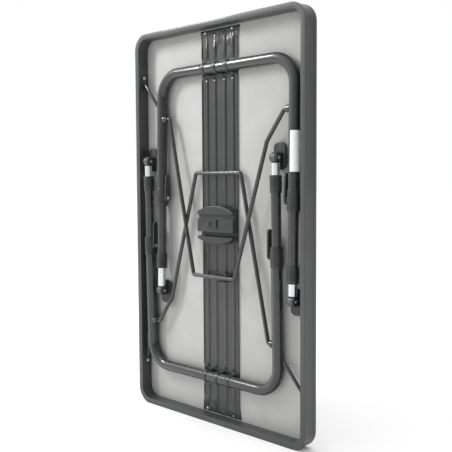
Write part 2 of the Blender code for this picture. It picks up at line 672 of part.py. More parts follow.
def build_foot(tag, post, drawn_out, hinge):
    """The bright foot tube, its ankle plug, the pin and the swivelling foot."""
    tube = along(ring("foot_tube", FOOT_TUBE_RADIUS, FOOT_TUBE_RADIUS - TUBE_WALL, FOOT_TUBE_NEAR, FOOT_TUBE_FAR))
    smooth(tube)
    finish(tube, "foot_tube_" + tag, "bright_metal", hinge, (post, -drawn_out, 0))

    neck_radius = FOOT_TUBE_RADIUS - TUBE_WALL - GAP
    neck = [
        (0.0, ANKLE_AT - 0.0060),
        (0.0070, ANKLE_AT - 0.0060),
        (0.0075, ANKLE_AT - ANKLE_RADIUS - GAP),
        (0.0115, ANKLE_AT - ANKLE_RADIUS - 2 * GAP),
        (0.0115, FOOT_TUBE_FAR + GAP),
        (neck_radius, FOOT_TUBE_FAR + GAP),
        (neck_radius, FOOT_TUBE_FAR - 0.0150),
        (0.0, FOOT_TUBE_FAR - 0.0150),
    ]
    plug = along(baked(turned("plug", neck, 16, closed=False)))
    disc = ring("disc", ANKLE_RADIUS, PIN_RADIUS + GAP, -ANKLE_HALF, ANKLE_HALF)
    ankle = combine(across(disc, (0, -ANKLE_AT, 0)), plug, "UNION")
    smooth(ankle)
    finish(ankle, "ankle_" + tag, "dark_plastic", hinge, (post, -drawn_out, 0))

    head_at = ANKLE_HALF + GAP + EAR_THICKNESS + GAP
    pin_profile = [
        (0.0, head_at + 0.0020),
        (0.0048, head_at + 0.0012),
        (0.0048, head_at),
        (PIN_RADIUS, head_at),
        (PIN_RADIUS, -head_at),
        (0.0048, -head_at),
        (0.0048, -head_at - 0.0012),
        (0.0, -head_at - 0.0020),
    ]
    pin = across(baked(turned("pin", pin_profile, 12, closed=False)), (0, -ANKLE_AT, 0))
    finish(pin, "ankle_pin_" + tag, "bright_metal", hinge, (post, -drawn_out, 0))

    outline = []
    for x, y, start in ((1, 1, 0), (-1, 1, 90), (-1, -1, 180), (1, -1, 270)):
        reach = FOOT_HEEL if y > 0 else FOOT_TOE
        centre = (x * (FOOT_HALF_WIDTH - FOOT_CORNER), y * (reach - FOOT_CORNER))
        outline += arc(centre, FOOT_CORNER, start, start + 90, 4)
    foot = outline_plate("foot", [outline], FOOT_PLATE)
    moved(foot, Matrix.Translation((0, 0, -SOLE_DEPTH + FOOT_PLATE / 2)))
    for side in (1, -1):
        radius = ANKLE_RADIUS
        low = -SOLE_DEPTH + FOOT_PLATE / 2
        lug = arc((0, 0), radius, 0, 180, 8) + [(-radius, low), (radius, low)]
        eye = arc((0, 0), PIN_RADIUS + GAP, 0, 330, 11)
        ear = outline_plate("ear", [lug, eye], EAR_THICKNESS)
        centre = side * (ANKLE_HALF + GAP + EAR_THICKNESS / 2)
        moved(ear, Matrix(((0, 0, 1, centre), (1, 0, 0, 0), (0, 1, 0, 0), (0, 0, 0, 1))))
        foot = combine(foot, ear, "UNION")
    axis = empty("foot_axis_" + tag, hinge, (post, -ANKLE_AT - drawn_out, 0))
    finish(foot, "foot_" + tag, "dark_plastic", axis)


def build_leg_pair(leg, hinge, table_up):
    """One leg pair with everything that folds with it. table_up is +1 where the hinge is its upper end."""
    build_leg_frame(leg, hinge)
    build_brace(leg, hinge)
    for side, post, inward in (("inner", INNER_POST_X, 1), ("outer", OUTER_POST_X, -1)):
        tag = leg + "_" + side
        drawn_out = LONGER_FOOT if tag == "a_inner" else 0.0
        build_clamp("clamp_" + tag, post, inward, hinge)
        build_lever("clamp_lever_" + tag, post, inward, table_up, hinge)
        build_lever_rivet("lever_rivet_" + tag, post, inward, hinge)
        build_extension("extension_" + tag, post, hinge)
        build_collar("collar_" + tag, post, hinge)
        build_foot(tag, post, drawn_out, hinge)


def build_hinge_rivets(table):
    """The four bright rivets in the side rails that the stays turn on."""
    inner_wall = WIDTH / 2 - FRAME_WIDTH
    near = TAB_X - TAB_THICKNESS / 2 - GAP
    profile = [
        (0.0, inner_wall - GAP),
        (PIN_RADIUS, inner_wall - GAP),
        (PIN_RADIUS, near),
        (0.0058, near),
        (0.0042, near - 0.0020),
        (0.0, near - 0.0026),
    ]
    for side, hand in ((-1, "left"), (1, "right")):
        for y, end in ((HINGE_Y, "top"), (-HINGE_Y, "bottom")):
            rivet = baked(turned("rivet", profile, 12, closed=False))
            if side < 0:
                moved(rivet, Matrix.Rotation(math.radians(180), 4, "Y"))
            name = "hinge_rivet_" + end + "_" + hand
            finish(across(rivet, (0, 0, 0)), name, "bright_metal", table, (0, y, HINGE_Z))


def build_label(hinge):
    """The plain white label wrapped round the front of the first pair's outer post."""
    inner = TUBE_RADIUS + GAP
    outline = arc((0, 0), inner + LABEL_THICKNESS, LABEL_FROM, LABEL_TO, 8)
    outline += arc((0, 0), inner, LABEL_TO, LABEL_FROM, 8)
    label = outline_plate("label", [outline], LABEL_FAR - LABEL_NEAR)
    middle = -(LABEL_NEAR + LABEL_FAR) / 2
    moved(label, Matrix(((1, 0, 0, OUTER_POST_X), (0, 0, -1, middle), (0, 1, 0, 0), (0, 0, 0, 1))))
    finish(label, "label", "label", hinge)


def main():
    """Builds the whole table."""
    clear_scene()
    table = empty("table_frame", None, (0, STAND_BACK, LENGTH / 2), (math.radians(90), 0, 0))
    build_top(table)
    build_spine(table)
    build_lock(table)
    build_hinge_rivets(table)
    tilt = -math.radians(STOW_TILT)
    hinge_a = empty("leg_hinge_a", table, (0, HINGE_Y, HINGE_Z), (tilt, 0, 0))
    hinge_b = empty("leg_hinge_b", table, (0, -HINGE_Y, HINGE_Z), (tilt, 0, math.pi))
    build_leg_pair("a", hinge_a, 1)
    build_leg_pair("b", hinge_b, -1)
    build_label(hinge_a)


main()
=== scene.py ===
"""A folding table stood on one short edge with its legs folded away: pieces, finishes, light and camera.

The table is drawn in its own frame and then stood up: X across the width, Y along the length, Z out of
the underside, with Z = 0 on the underside of the panel. A leg pair is drawn in a frame on its hinge axis,
with the posts running along -Y. Sizes are in metres, and angles in degrees unless a comment says otherwise.
"""

import logging
import math
from collections.abc import Iterable, Sequence
from dataclasses import dataclass
from enum import Enum

import bmesh
import bpy
from mathutils import Matrix, Vector, noise

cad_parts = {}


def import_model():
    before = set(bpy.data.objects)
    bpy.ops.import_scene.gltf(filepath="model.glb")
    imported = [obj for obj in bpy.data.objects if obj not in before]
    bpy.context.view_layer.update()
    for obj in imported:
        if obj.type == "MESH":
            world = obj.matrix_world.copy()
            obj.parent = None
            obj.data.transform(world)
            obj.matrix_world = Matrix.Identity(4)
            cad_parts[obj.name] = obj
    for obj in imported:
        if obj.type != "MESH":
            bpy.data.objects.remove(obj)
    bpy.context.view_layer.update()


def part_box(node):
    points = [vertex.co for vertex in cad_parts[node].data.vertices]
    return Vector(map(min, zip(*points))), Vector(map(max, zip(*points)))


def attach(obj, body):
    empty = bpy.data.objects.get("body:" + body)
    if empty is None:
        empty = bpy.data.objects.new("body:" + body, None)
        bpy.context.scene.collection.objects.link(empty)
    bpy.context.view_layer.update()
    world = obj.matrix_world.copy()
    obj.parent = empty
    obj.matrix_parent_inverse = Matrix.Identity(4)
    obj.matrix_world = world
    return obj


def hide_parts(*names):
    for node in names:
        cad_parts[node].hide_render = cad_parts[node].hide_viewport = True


LOG = logging.getLogger("folding_table")
MM = 0.001
CLEARANCE = 0.0003
MERGE = 0.00001
X_AXIS, Y_AXIS, Z_AXIS = Vector((1, 0, 0)), Vector((0, 1, 0)), Vector((0, 0, 1))
# Lays a piece turned round Z along a post, with its heights towards the foot.
ALONG_POST = Matrix.Rotation(math.radians(90), 4, "X")

BMesh = bmesh.types.BMesh
Point = tuple[float, float]
Triple = tuple[float, float, float]
Socket = bpy.types.NodeSocket


class Pair(Enum):
    """The two leg pairs, named for the end of the table that they hinge at."""

    UPPER = "a"
    LOWER = "b"


class Post(Enum):
    """The two posts of a leg pair: the one set inwards and the one set outwards."""

    INNER = "inner"
    OUTER = "outer"


# ---------------------------------------------------------------- finishes


def linear(hex_colour: str) -> tuple[float, float, float, float]:
    """Turns an sRGB hex colour into linear RGBA.

    Args:
        hex_colour: Six hex digits, such as "4a4c4e".

    Returns:
        Red, green, blue and an alpha of 1.
    """
    channels = [int(hex_colour[start : start + 2], 16) / 255 for start in (0, 2, 4)]
    lit = [c / 12.92 if c <= 0.04045 else ((c + 0.055) / 1.055) ** 2.4 for c in channels]
    return (*lit, 1.0)


def add(
    tree: bpy.types.NodeTree, kind: str, settings: dict | None = None, links: dict | None = None,
) -> bpy.types.Node:
    """Adds one node to a tree.

    Args:
        tree: The node tree.
        kind: The node's type name.
        settings: Values by socket name, or by property name where no socket has it.
        links: Output sockets by the name or number of the input that each one feeds.

    Returns:
        The new node.
    """
    node = tree.nodes.new(kind)
    for name, value in (settings or {}).items():
        if name in node.inputs:
            node.inputs[name].default_value = value
        else:
            setattr(node, name, value)
    for name, source in (links or {}).items():
        tree.links.new(source, node.inputs[name])
    return node


@dataclass(frozen=True)
class Finish:
    """A surface finish: two close colours that drift into each other, a grain and a gloss.

    The grain is a bump whose size is the spacing of its lumps in millimetres.
    """

    name: str
    slot: str
    colour: str
    drift_colour: str
    roughness: float
    metallic: float = 0.0
    ior: float = 1.5
    drift_mm: float = 60.0
    grain_mm: float = 1.2
    grain_height_mm: float = 0.05
    gloss_change: float = 0.06
    stretch: Triple = (1.0, 1.0, 1.0)
    coat: float = 0.0

    def material(self) -> bpy.types.Material:
        """Returns the finish's material, made the first time that it is asked for."""
        made = bpy.data.materials.get(self.name)
        return made if made else self.build()

    def build(self) -> bpy.types.Material:
        """Builds the material's nodes.

        Returns:
            The new material.
        """
        material = bpy.data.materials.new(self.name)
        material.use_nodes = True
        tree = material.node_tree
        shader = tree.nodes["Principled BSDF"]
        shader.inputs["Metallic"].default_value = self.metallic
        shader.inputs["IOR"].default_value = self.ior
        shader.inputs["Coat Weight"].default_value = self.coat
        place = add(tree, "ShaderNodeTexCoord").outputs["Object"]
        drift = self.lumps(tree, place, self.drift_mm, 4.0)
        tree.links.new(self.paint(tree, place, drift), shader.inputs["Base Color"])
        span = {"To Min": self.roughness - self.gloss_change, "To Max": self.roughness + self.gloss_change}
        gloss = add(tree, "ShaderNodeMapRange", span, {"Value": drift})
        tree.links.new(gloss.outputs["Result"], shader.inputs["Roughness"])
        drawn = add(tree, "ShaderNodeMapping", {"Scale": self.stretch}, {"Vector": place}).outputs["Vector"]
        height = {"Height": self.lumps(tree, drawn, self.grain_mm, 2.0, 0.6)}
        bump = add(tree, "ShaderNodeBump", {"Strength": 1.0, "Distance": self.grain_height_mm * MM}, height)
        tree.links.new(bump.outputs["Normal"], shader.inputs["Normal"])
        return material

    def lumps(
        self, tree: bpy.types.NodeTree, place: Socket, size_mm: float, detail: float, rough: float = 0.5
    ) -> Socket:
        """Adds a noise whose lumps have a spacing in millimetres, and returns its value socket."""
        settings = {"Scale": 1 / (size_mm * MM), "Detail": detail, "Roughness": rough}
        return add(tree, "ShaderNodeTexNoise", settings, {"Vector": place}).outputs["Fac"]

    def paint(self, tree: bpy.types.NodeTree, place: Socket, drift: Socket) -> Socket:
        """Adds the surface's colour.

        Args:
            tree: The material's nodes.
            place: Object coordinates.
            drift: The slow noise that blends the two colours.

        Returns:
            The colour's socket.
        """
        ramp = add(tree, "ShaderNodeValToRGB", None, {"Fac": drift})
        stops = ((0.35, self.drift_colour), (0.65, self.colour))
        for element, (position, colour) in zip(ramp.color_ramp.elements, stops):
            element.position = position
            element.color = linear(colour)
        return ramp.outputs["Color"]


@dataclass(frozen=True)
class Laminate(Finish):
    """Matt laminate with a fine printed speckle over its ground colour."""

    speckle_colour: str = "9c9c9c"
    speckle_mm: float = 1.6
    speckle_share: float = 0.30

    def paint(self, tree: bpy.types.NodeTree, place: Socket, drift: Socket) -> Socket:
        """Adds the ground colour under a printed speckle.

        Args:
            tree: The material's nodes.
            place: Object coordinates.
            drift: The slow noise that blends the two ground colours.

        Returns:
            The colour's socket.
        """
        speckle = self.lumps(tree, place, self.speckle_mm, 3.0)
        span = {"From Min": 0.40, "From Max": 0.75, "To Min": 0.0, "To Max": self.speckle_share}
        share = add(tree, "ShaderNodeMapRange", span, {"Value": speckle})
        mix = add(tree, "ShaderNodeMix", {"data_type": "RGBA"}, {"Factor": share.outputs["Result"]})
        tree.links.new(super().paint(tree, place, drift), mix.inputs[6])
        mix.inputs[7].default_value = linear(self.speckle_colour)
        return mix.outputs[2]


# Anthracite polyester powder coat on rolled channel: a soft sheen with a faint orange peel.
# Orange peel is about 1 mm across, drawn here at 2.2 mm so that it shows at the view's scale.
RAIL_COAT = Finish("anthracite_powder_coat", "frame_paint", "3c3d3e", "373839", 0.38, grain_mm=2.2, coat=0.2)
# The same coat on the pressed beam, glossier where the sheet is burnished and scuffed by the legs.
BEAM_COAT = Finish("beam_powder_coat", "frame_paint", "2a2b2c", "252627", 0.33, grain_mm=2.2, coat=0.3)
# Satin powder coat on the bent tubes: smoother than the rail's and a little glossier.
TUBE_COAT = Finish("satin_powder_coat", "leg_paint", "28292a", "232425", 0.27, grain_mm=2.0, coat=0.5,
                   grain_height_mm=0.02)
# Injection-moulded nylon with a fine spark-eroded texture: dark, even and matt.
NYLON = Finish("moulded_nylon", "dark_plastic", "27282a", "222324", 0.46, ior=1.53, grain_mm=1.0,
               grain_height_mm=0.04)
# The ankles' nylon is a lighter grey batch, worn paler by the pins.
ANKLE_NYLON = Finish("grey_ankle_nylon", "dark_plastic", "4c4d4f", "404143", 0.44, ior=1.53, drift_mm=8.0,
                     grain_mm=1.0)
# Blackened steel screws: dark with a soft metallic glint.
BLACK_STEEL = Finish("blackened_steel", "dark_plastic", "4a4a4b", "3a3a3b", 0.35, 1.0, drift_mm=3.0,
                     grain_mm=0.8)
# Drawn and polished aluminium tube: bright, with fine lines along its length.
ALUMINIUM = Finish("drawn_aluminium", "bright_metal", "e4e5e6", "d6d7d9", 0.24, 1.0, grain_mm=1.4,
                   grain_height_mm=0.02, stretch=(1.0, 1.0, 0.02))
# Zinc-plated steel rivets and springs: bright with a slight cloudiness.
ZINC = Finish("zinc_plate", "bright_metal", "d0d2d3", "bcbec0", 0.30, 1.0, drift_mm=4.0, grain_mm=0.8)
# Light grey melamine laminate: dead matt, with a printed speckle of about 1.6 mm.
LAMINATE = Laminate("grey_laminate", "panel", "b4b4b3", "aeaead", 0.60, grain_mm=1.5, grain_height_mm=0.02)
# Plain white vinyl film, slightly glossy, left blank.
FILM = Finish("white_film", "label", "f2f3f4", "eceded", 0.35, drift_mm=20.0, grain_mm=3.0,
              grain_height_mm=0.01)


# ---------------------------------------------------------------- mesh tools


def ring_edges(verts: Iterable[bmesh.types.BMVert]) -> list[bmesh.types.BMEdge]:
    """Returns the edges whose two ends are both among the vertices."""
    chosen = set(verts)
    return list({edge for vert in chosen for edge in vert.link_edges if edge.other_vert(vert) in chosen})


def polyline(bm: BMesh, points: Iterable[Sequence[float]], closed: bool) -> list[bmesh.types.BMEdge]:
    """Adds a line of vertices joined by edges.

    Args:
        bm: The mesh to add to.
        points: The line's points.
        closed: Whether the last point is joined to the first.

    Returns:
        The line's edges.
    """
    verts = [bm.verts.new(point) for point in points]
    pairs = list(zip(verts, verts[1:]))
    if closed:
        pairs.append((verts[-1], verts[0]))
    return [bm.edges.new(pair) for pair in pairs]


def turned(angle: float, axis: str) -> Matrix:
    """Returns the matrix of a turn in degrees round an axis."""
    return Matrix.Rotation(math.radians(angle), 4, axis)


def rounded(bm: BMesh, geom: Sequence, what: str, width: float, steps: int, clamp: bool = True) -> None:
    """Rounds edges or corners, as what says; clamp stops neighbouring roundings where they meet."""
    bmesh.ops.bevel(bm, geom=geom, offset=width, offset_type="OFFSET", affect=what, segments=steps,
                    profile=0.5, material=-1, clamp_overlap=clamp)


def soften(bm: BMesh, width: float, angle: float = 35.0, segments: int = 2) -> None:
    """Rounds every edge that turns more sharply than an angle.

    Args:
        bm: The closed mesh.
        width: The bevel's width.
        angle: The least turn between two faces that is rounded.
        segments: Steps across each rounded edge.
    """
    bmesh.ops.remove_doubles(bm, verts=bm.verts, dist=MERGE)
    bmesh.ops.recalc_face_normals(bm, faces=bm.faces)
    limit = math.radians(angle)
    sharp = [edge for edge in bm.edges if len(edge.link_faces) == 2 and edge.calc_face_angle(0.0) > limit]
    rounded(bm, sharp, "EDGES", width, segments)


def lathe(profile: Sequence[Point], steps: int = 40, closed: bool = True) -> BMesh:
    """Turns a profile round Z.

    Args:
        profile: Radius and height of each point. A solid's profile starts and ends on the axis.
        steps: Facets round the full turn.
        closed: Whether the profile is a ring, for a hollow piece.

    Returns:
        The turned, closed mesh.
    """
    bm = bmesh.new()
    edges = polyline(bm, [(radius, 0.0, height) for radius, height in profile], closed)
    bmesh.ops.spin(
        bm, geom=list(bm.verts) + edges, cent=(0, 0, 0), axis=(0, 0, 1), angle=math.tau, steps=steps,
        use_merge=True,
    )
    bmesh.ops.remove_doubles(bm, verts=bm.verts, dist=MERGE)
    bmesh.ops.recalc_face_normals(bm, faces=bm.faces)
    return bm


def tapered_pill(ends: Sequence[Triple], thickness: float, steps: int = 28) -> BMesh:
    """Makes a flat bar with round ends, as the hull of two discs.

    Args:
        ends: X, Y and radius of each disc.
        thickness: The bar's thickness, centred on Z = 0.
        steps: Facets round each disc.

    Returns:
        The bar's mesh.
    """
    bm = bmesh.new()
    for x, y, radius in ends:
        bmesh.ops.create_cone(
            bm, cap_ends=True, segments=steps, radius1=radius, radius2=radius, depth=thickness,
            matrix=Matrix.Translation((x, y, 0)),
        )
    return hull(bm)


def hull(bm: BMesh) -> BMesh:
    """Shrinks everything in a mesh to its one convex hull, with flat faces made whole.

    Args:
        bm: The mesh.

    Returns:
        The same mesh.
    """
    done = bmesh.ops.convex_hull(bm, input=bm.verts, use_existing_faces=False)
    inside = [item for item in done["geom_interior"] if isinstance(item, bmesh.types.BMVert)]
    bmesh.ops.delete(bm, geom=inside, context="VERTS")
    shell = {item for item in done["geom"] if isinstance(item, bmesh.types.BMFace)}
    bmesh.ops.delete(bm, geom=[face for face in bm.faces if face not in shell], context="FACES_ONLY")
    loose = [edge for edge in bm.edges if not edge.link_faces]
    bmesh.ops.delete(bm, geom=loose, context="EDGES")
    bmesh.ops.dissolve_limit(bm, angle_limit=math.radians(1), verts=bm.verts, edges=bm.edges)
    return bm


def rounded_slab(low: Sequence[float], high: Sequence[float], radius: float, steps: int = 8) -> BMesh:
    """Makes a flat slab whose four upright edges are rounded.

    Args:
        low: Lowest corner.
        high: Highest corner.
        radius: Radius of the rounded corners in plan.
        steps: Facets across each corner.

    Returns:
        The slab's mesh.
    """
    bm = bmesh.new()
    corners = [(low[0], low[1]), (high[0], low[1]), (high[0], high[1]), (low[0], high[1])]
    edges = polyline(bm, [(x, y, low[2]) for x, y in corners], True)
    bmesh.ops.contextual_create(bm, geom=edges)
    rounded(bm, list(bm.verts), "VERTICES", radius, steps, False)
    grown = bmesh.ops.extrude_face_region(bm, geom=list(bm.faces), use_keep_orig=True)["geom"]
    top = [item for item in grown if isinstance(item, bmesh.types.BMVert)]
    bmesh.ops.translate(bm, vec=(0, 0, high[2] - low[2]), verts=top)
    bmesh.ops.recalc_face_normals(bm, faces=bm.faces)
    return bm


def bored(bm: BMesh, wall: float, depth: float) -> BMesh:
    """Bores into the flat ends of a capped tube.

    Args:
        bm: The tube's mesh.
        wall: The wall left round the bore.
        depth: How deep the bore goes.

    Returns:
        The same mesh.
    """
    ends = [face for face in bm.faces if len(face.verts) > 8]
    bmesh.ops.inset_individual(bm, faces=ends, thickness=wall)
    for face in bmesh.ops.extrude_discrete_faces(bm, faces=ends)["faces"]:
        bmesh.ops.translate(bm, vec=-face.normal * depth, verts=face.verts)
    return bm


def joined(parts: Iterable[BMesh]) -> BMesh:
    """Puts several closed meshes into one.

    Args:
        parts: The meshes, which are freed.

    Returns:
        The mesh that holds them all.
    """
    whole = bmesh.new()
    for part in parts:
        scratch = bpy.data.meshes.new("scratch")
        part.to_mesh(scratch)
        part.free()
        whole.from_mesh(scratch)
        bpy.data.meshes.remove(scratch)
    return whole


def moved(bm: BMesh, matrix: Matrix) -> BMesh:
    """Moves a mesh by a matrix and returns it."""
    bmesh.ops.transform(bm, matrix=matrix, verts=bm.verts)
    return bm


class Bender:
    """A section carried along straight runs and bends, as a bar goes through a bender."""

    def __init__(
        self, section: Sequence[Point] | float, start: Vector, heading: Vector, up: Vector, sides: int = 32
    ) -> None:
        """Sets the section at the start of its path.

        Args:
            section: A radius, or closed section points measured sideways and up.
            start: Where the path starts.
            heading: The direction that it starts in.
            up: The section's up direction.
            sides: Facets round a section that is a circle.
        """
        self.bm = bmesh.new()
        self.place = Vector(start)
        self.heading = Vector(heading).normalized()
        side = self.heading.cross(up).normalized()
        frame = Matrix((side, side.cross(self.heading), self.heading)).transposed().to_4x4()
        frame.translation = self.place
        if isinstance(section, float):
            ring = bmesh.ops.create_circle(self.bm, radius=section, segments=sides, matrix=frame)
            self.edges = ring_edges(ring["verts"])
        else:
            self.edges = polyline(self.bm, [frame @ Vector((x, y, 0)) for x, y in section], True)
        self.first = list(self.edges)

    def run(self, length: float) -> "Bender":
        """Draws the section straight ahead by a length."""
        grown = bmesh.ops.extrude_edge_only(self.bm, edges=self.edges)["geom"]
        verts = [item for item in grown if isinstance(item, bmesh.types.BMVert)]
        bmesh.ops.translate(self.bm, vec=self.heading * length, verts=verts)
        self.edges = ring_edges(verts)
        self.place = self.place + self.heading * length
        return self

    def bend(self, towards: Vector, radius: float, angle: float, steps: int = 8) -> "Bender":
        """Bends the path.

        Args:
            towards: A direction on the side of the bend's centre.
            radius: The bend's radius on the path.
            angle: The bend's angle.
            steps: Facets along the bend.

        Returns:
            The bender itself.
        """
        side = (towards - self.heading * towards.dot(self.heading)).normalized()
        centre = self.place + side * radius
        axis = self.heading.cross(side)
        turn = math.radians(angle)
        grown = bmesh.ops.spin(
            self.bm, geom=self.edges, cent=centre, axis=axis, angle=turn, steps=steps, use_duplicate=False
        )["geom_last"]
        self.edges = [item for item in grown if isinstance(item, bmesh.types.BMEdge)]
        rotation = Matrix.Rotation(turn, 3, axis)
        self.place = centre + rotation @ (self.place - centre)
        self.heading = rotation @ self.heading
        return self

    def follow(self, corners: Sequence[Sequence[float]], radius: float, steps: int = 8) -> "Bender":
        """Follows a path of corners, with each corner rounded by one radius.

        Args:
            corners: The path's points, the first being where the section stands now.
            radius: The radius of every bend.
            steps: Facets along each bend.

        Returns:
            The bender itself.
        """
        points = [Vector(corner) for corner in corners]
        for corner, after in zip(points[1:], points[2:]):
            ahead = (after - corner).normalized()
            half = (-self.heading).angle(ahead) / 2
            self.run((corner - self.place).length - radius / math.tan(half))
            self.bend(ahead, radius, 180 - 2 * math.degrees(half), steps)
        return self.run((points[-1] - self.place).length)

    def capped(self) -> BMesh:
        """Closes both ends of the path and returns the mesh."""
        for edges in (self.first, self.edges):
            bmesh.ops.edgeloop_fill(self.bm, edges=edges)
        bmesh.ops.recalc_face_normals(self.bm, faces=self.bm.faces)
        return self.bm

    def looped(self) -> BMesh:
        """Joins the end of the path to its start and returns the mesh."""
        bmesh.ops.remove_doubles(self.bm, verts=self.bm.verts, dist=MERGE * 5)
        bmesh.ops.recalc_face_normals(self.bm, faces=self.bm.faces)
        return self.bm


def rounded_section(points: Sequence[Point], radius: float, steps: int = 3) -> list[Point]:
    """Rounds the corners of a closed section.

    Args:
        points: The section's corners.
        radius: How far from each corner its rounding starts.
        steps: Facets across each corner.

    Returns:
        The rounded section's points, in order.
    """
    bm = bmesh.new()
    bmesh.ops.contextual_create(bm, geom=polyline(bm, [(x, y, 0) for x, y in points], True))
    rounded(bm, list(bm.verts), "VERTICES", radius, steps)
    face = max(bm.faces, key=lambda item: item.calc_area())
    outline = [(vert.co.x, vert.co.y) for vert in face.verts]
    bm.free()
    return outline


def cut(obj: bpy.types.Object, tools: Iterable[BMesh]) -> None:
    """Cuts shapes out of a piece and keeps the result in its mesh.

    Args:
        obj: The piece.
        tools: Closed meshes to cut away, which are freed.
    """
    for tool in tools:
        mesh = bpy.data.meshes.new("cutter")
        bmesh.ops.recalc_face_normals(tool, faces=tool.faces)
        tool.to_mesh(mesh)
        tool.free()
        cutter = bpy.data.objects.new("cutter", mesh)
        bpy.context.scene.collection.objects.link(cutter)
        step = obj.modifiers.new("cut", "BOOLEAN")
        step.operation = "DIFFERENCE"
        step.solver = "EXACT"
        step.object = cutter
        result = bpy.data.meshes.new_from_object(obj.evaluated_get(bpy.context.evaluated_depsgraph_get()))
        obj.modifiers.clear()
        obj.data = result
        bpy.data.objects.remove(cutter, do_unlink=True)


def shade(mesh: bpy.types.Mesh, angle: float) -> None:
    """Shades a mesh smooth except across edges that turn more than an angle."""
    mesh.shade_smooth()
    mesh.set_sharp_from_angle(angle=math.radians(angle))


def piece(
    bm: BMesh, name: str, finish: Finish, body: str, place: Matrix,
    stands_for: Sequence[str] = (), angle: float = 32.0,
) -> bpy.types.Object:
    """Makes a finished piece of the table and ties it to its body.

    Args:
        bm: The piece's mesh in its drawing frame, which is freed.
        name: The piece's name.
        finish: Its finish.
        body: The body that it moves with.
        place: From the drawing frame to the room.
        stands_for: The nodes that it is shown instead of.
        angle: The turn above which an edge is shaded sharp.

    Returns:
        The piece.
    """
    bmesh.ops.transform(bm, matrix=place, verts=bm.verts)
    mesh = bpy.data.meshes.new(name)
    bm.to_mesh(mesh)
    bm.free()
    shade(mesh, angle)
    obj = bpy.data.objects.new(name, mesh)
    bpy.context.scene.collection.objects.link(obj)
    mesh.materials.append(finish.material())
    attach(obj, body)
    if stands_for:
        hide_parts(*stands_for)
    LOG.info("%s rides on %s, %d faces", name, body, len(mesh.polygons))
    return obj


# ---------------------------------------------------------------- the table top


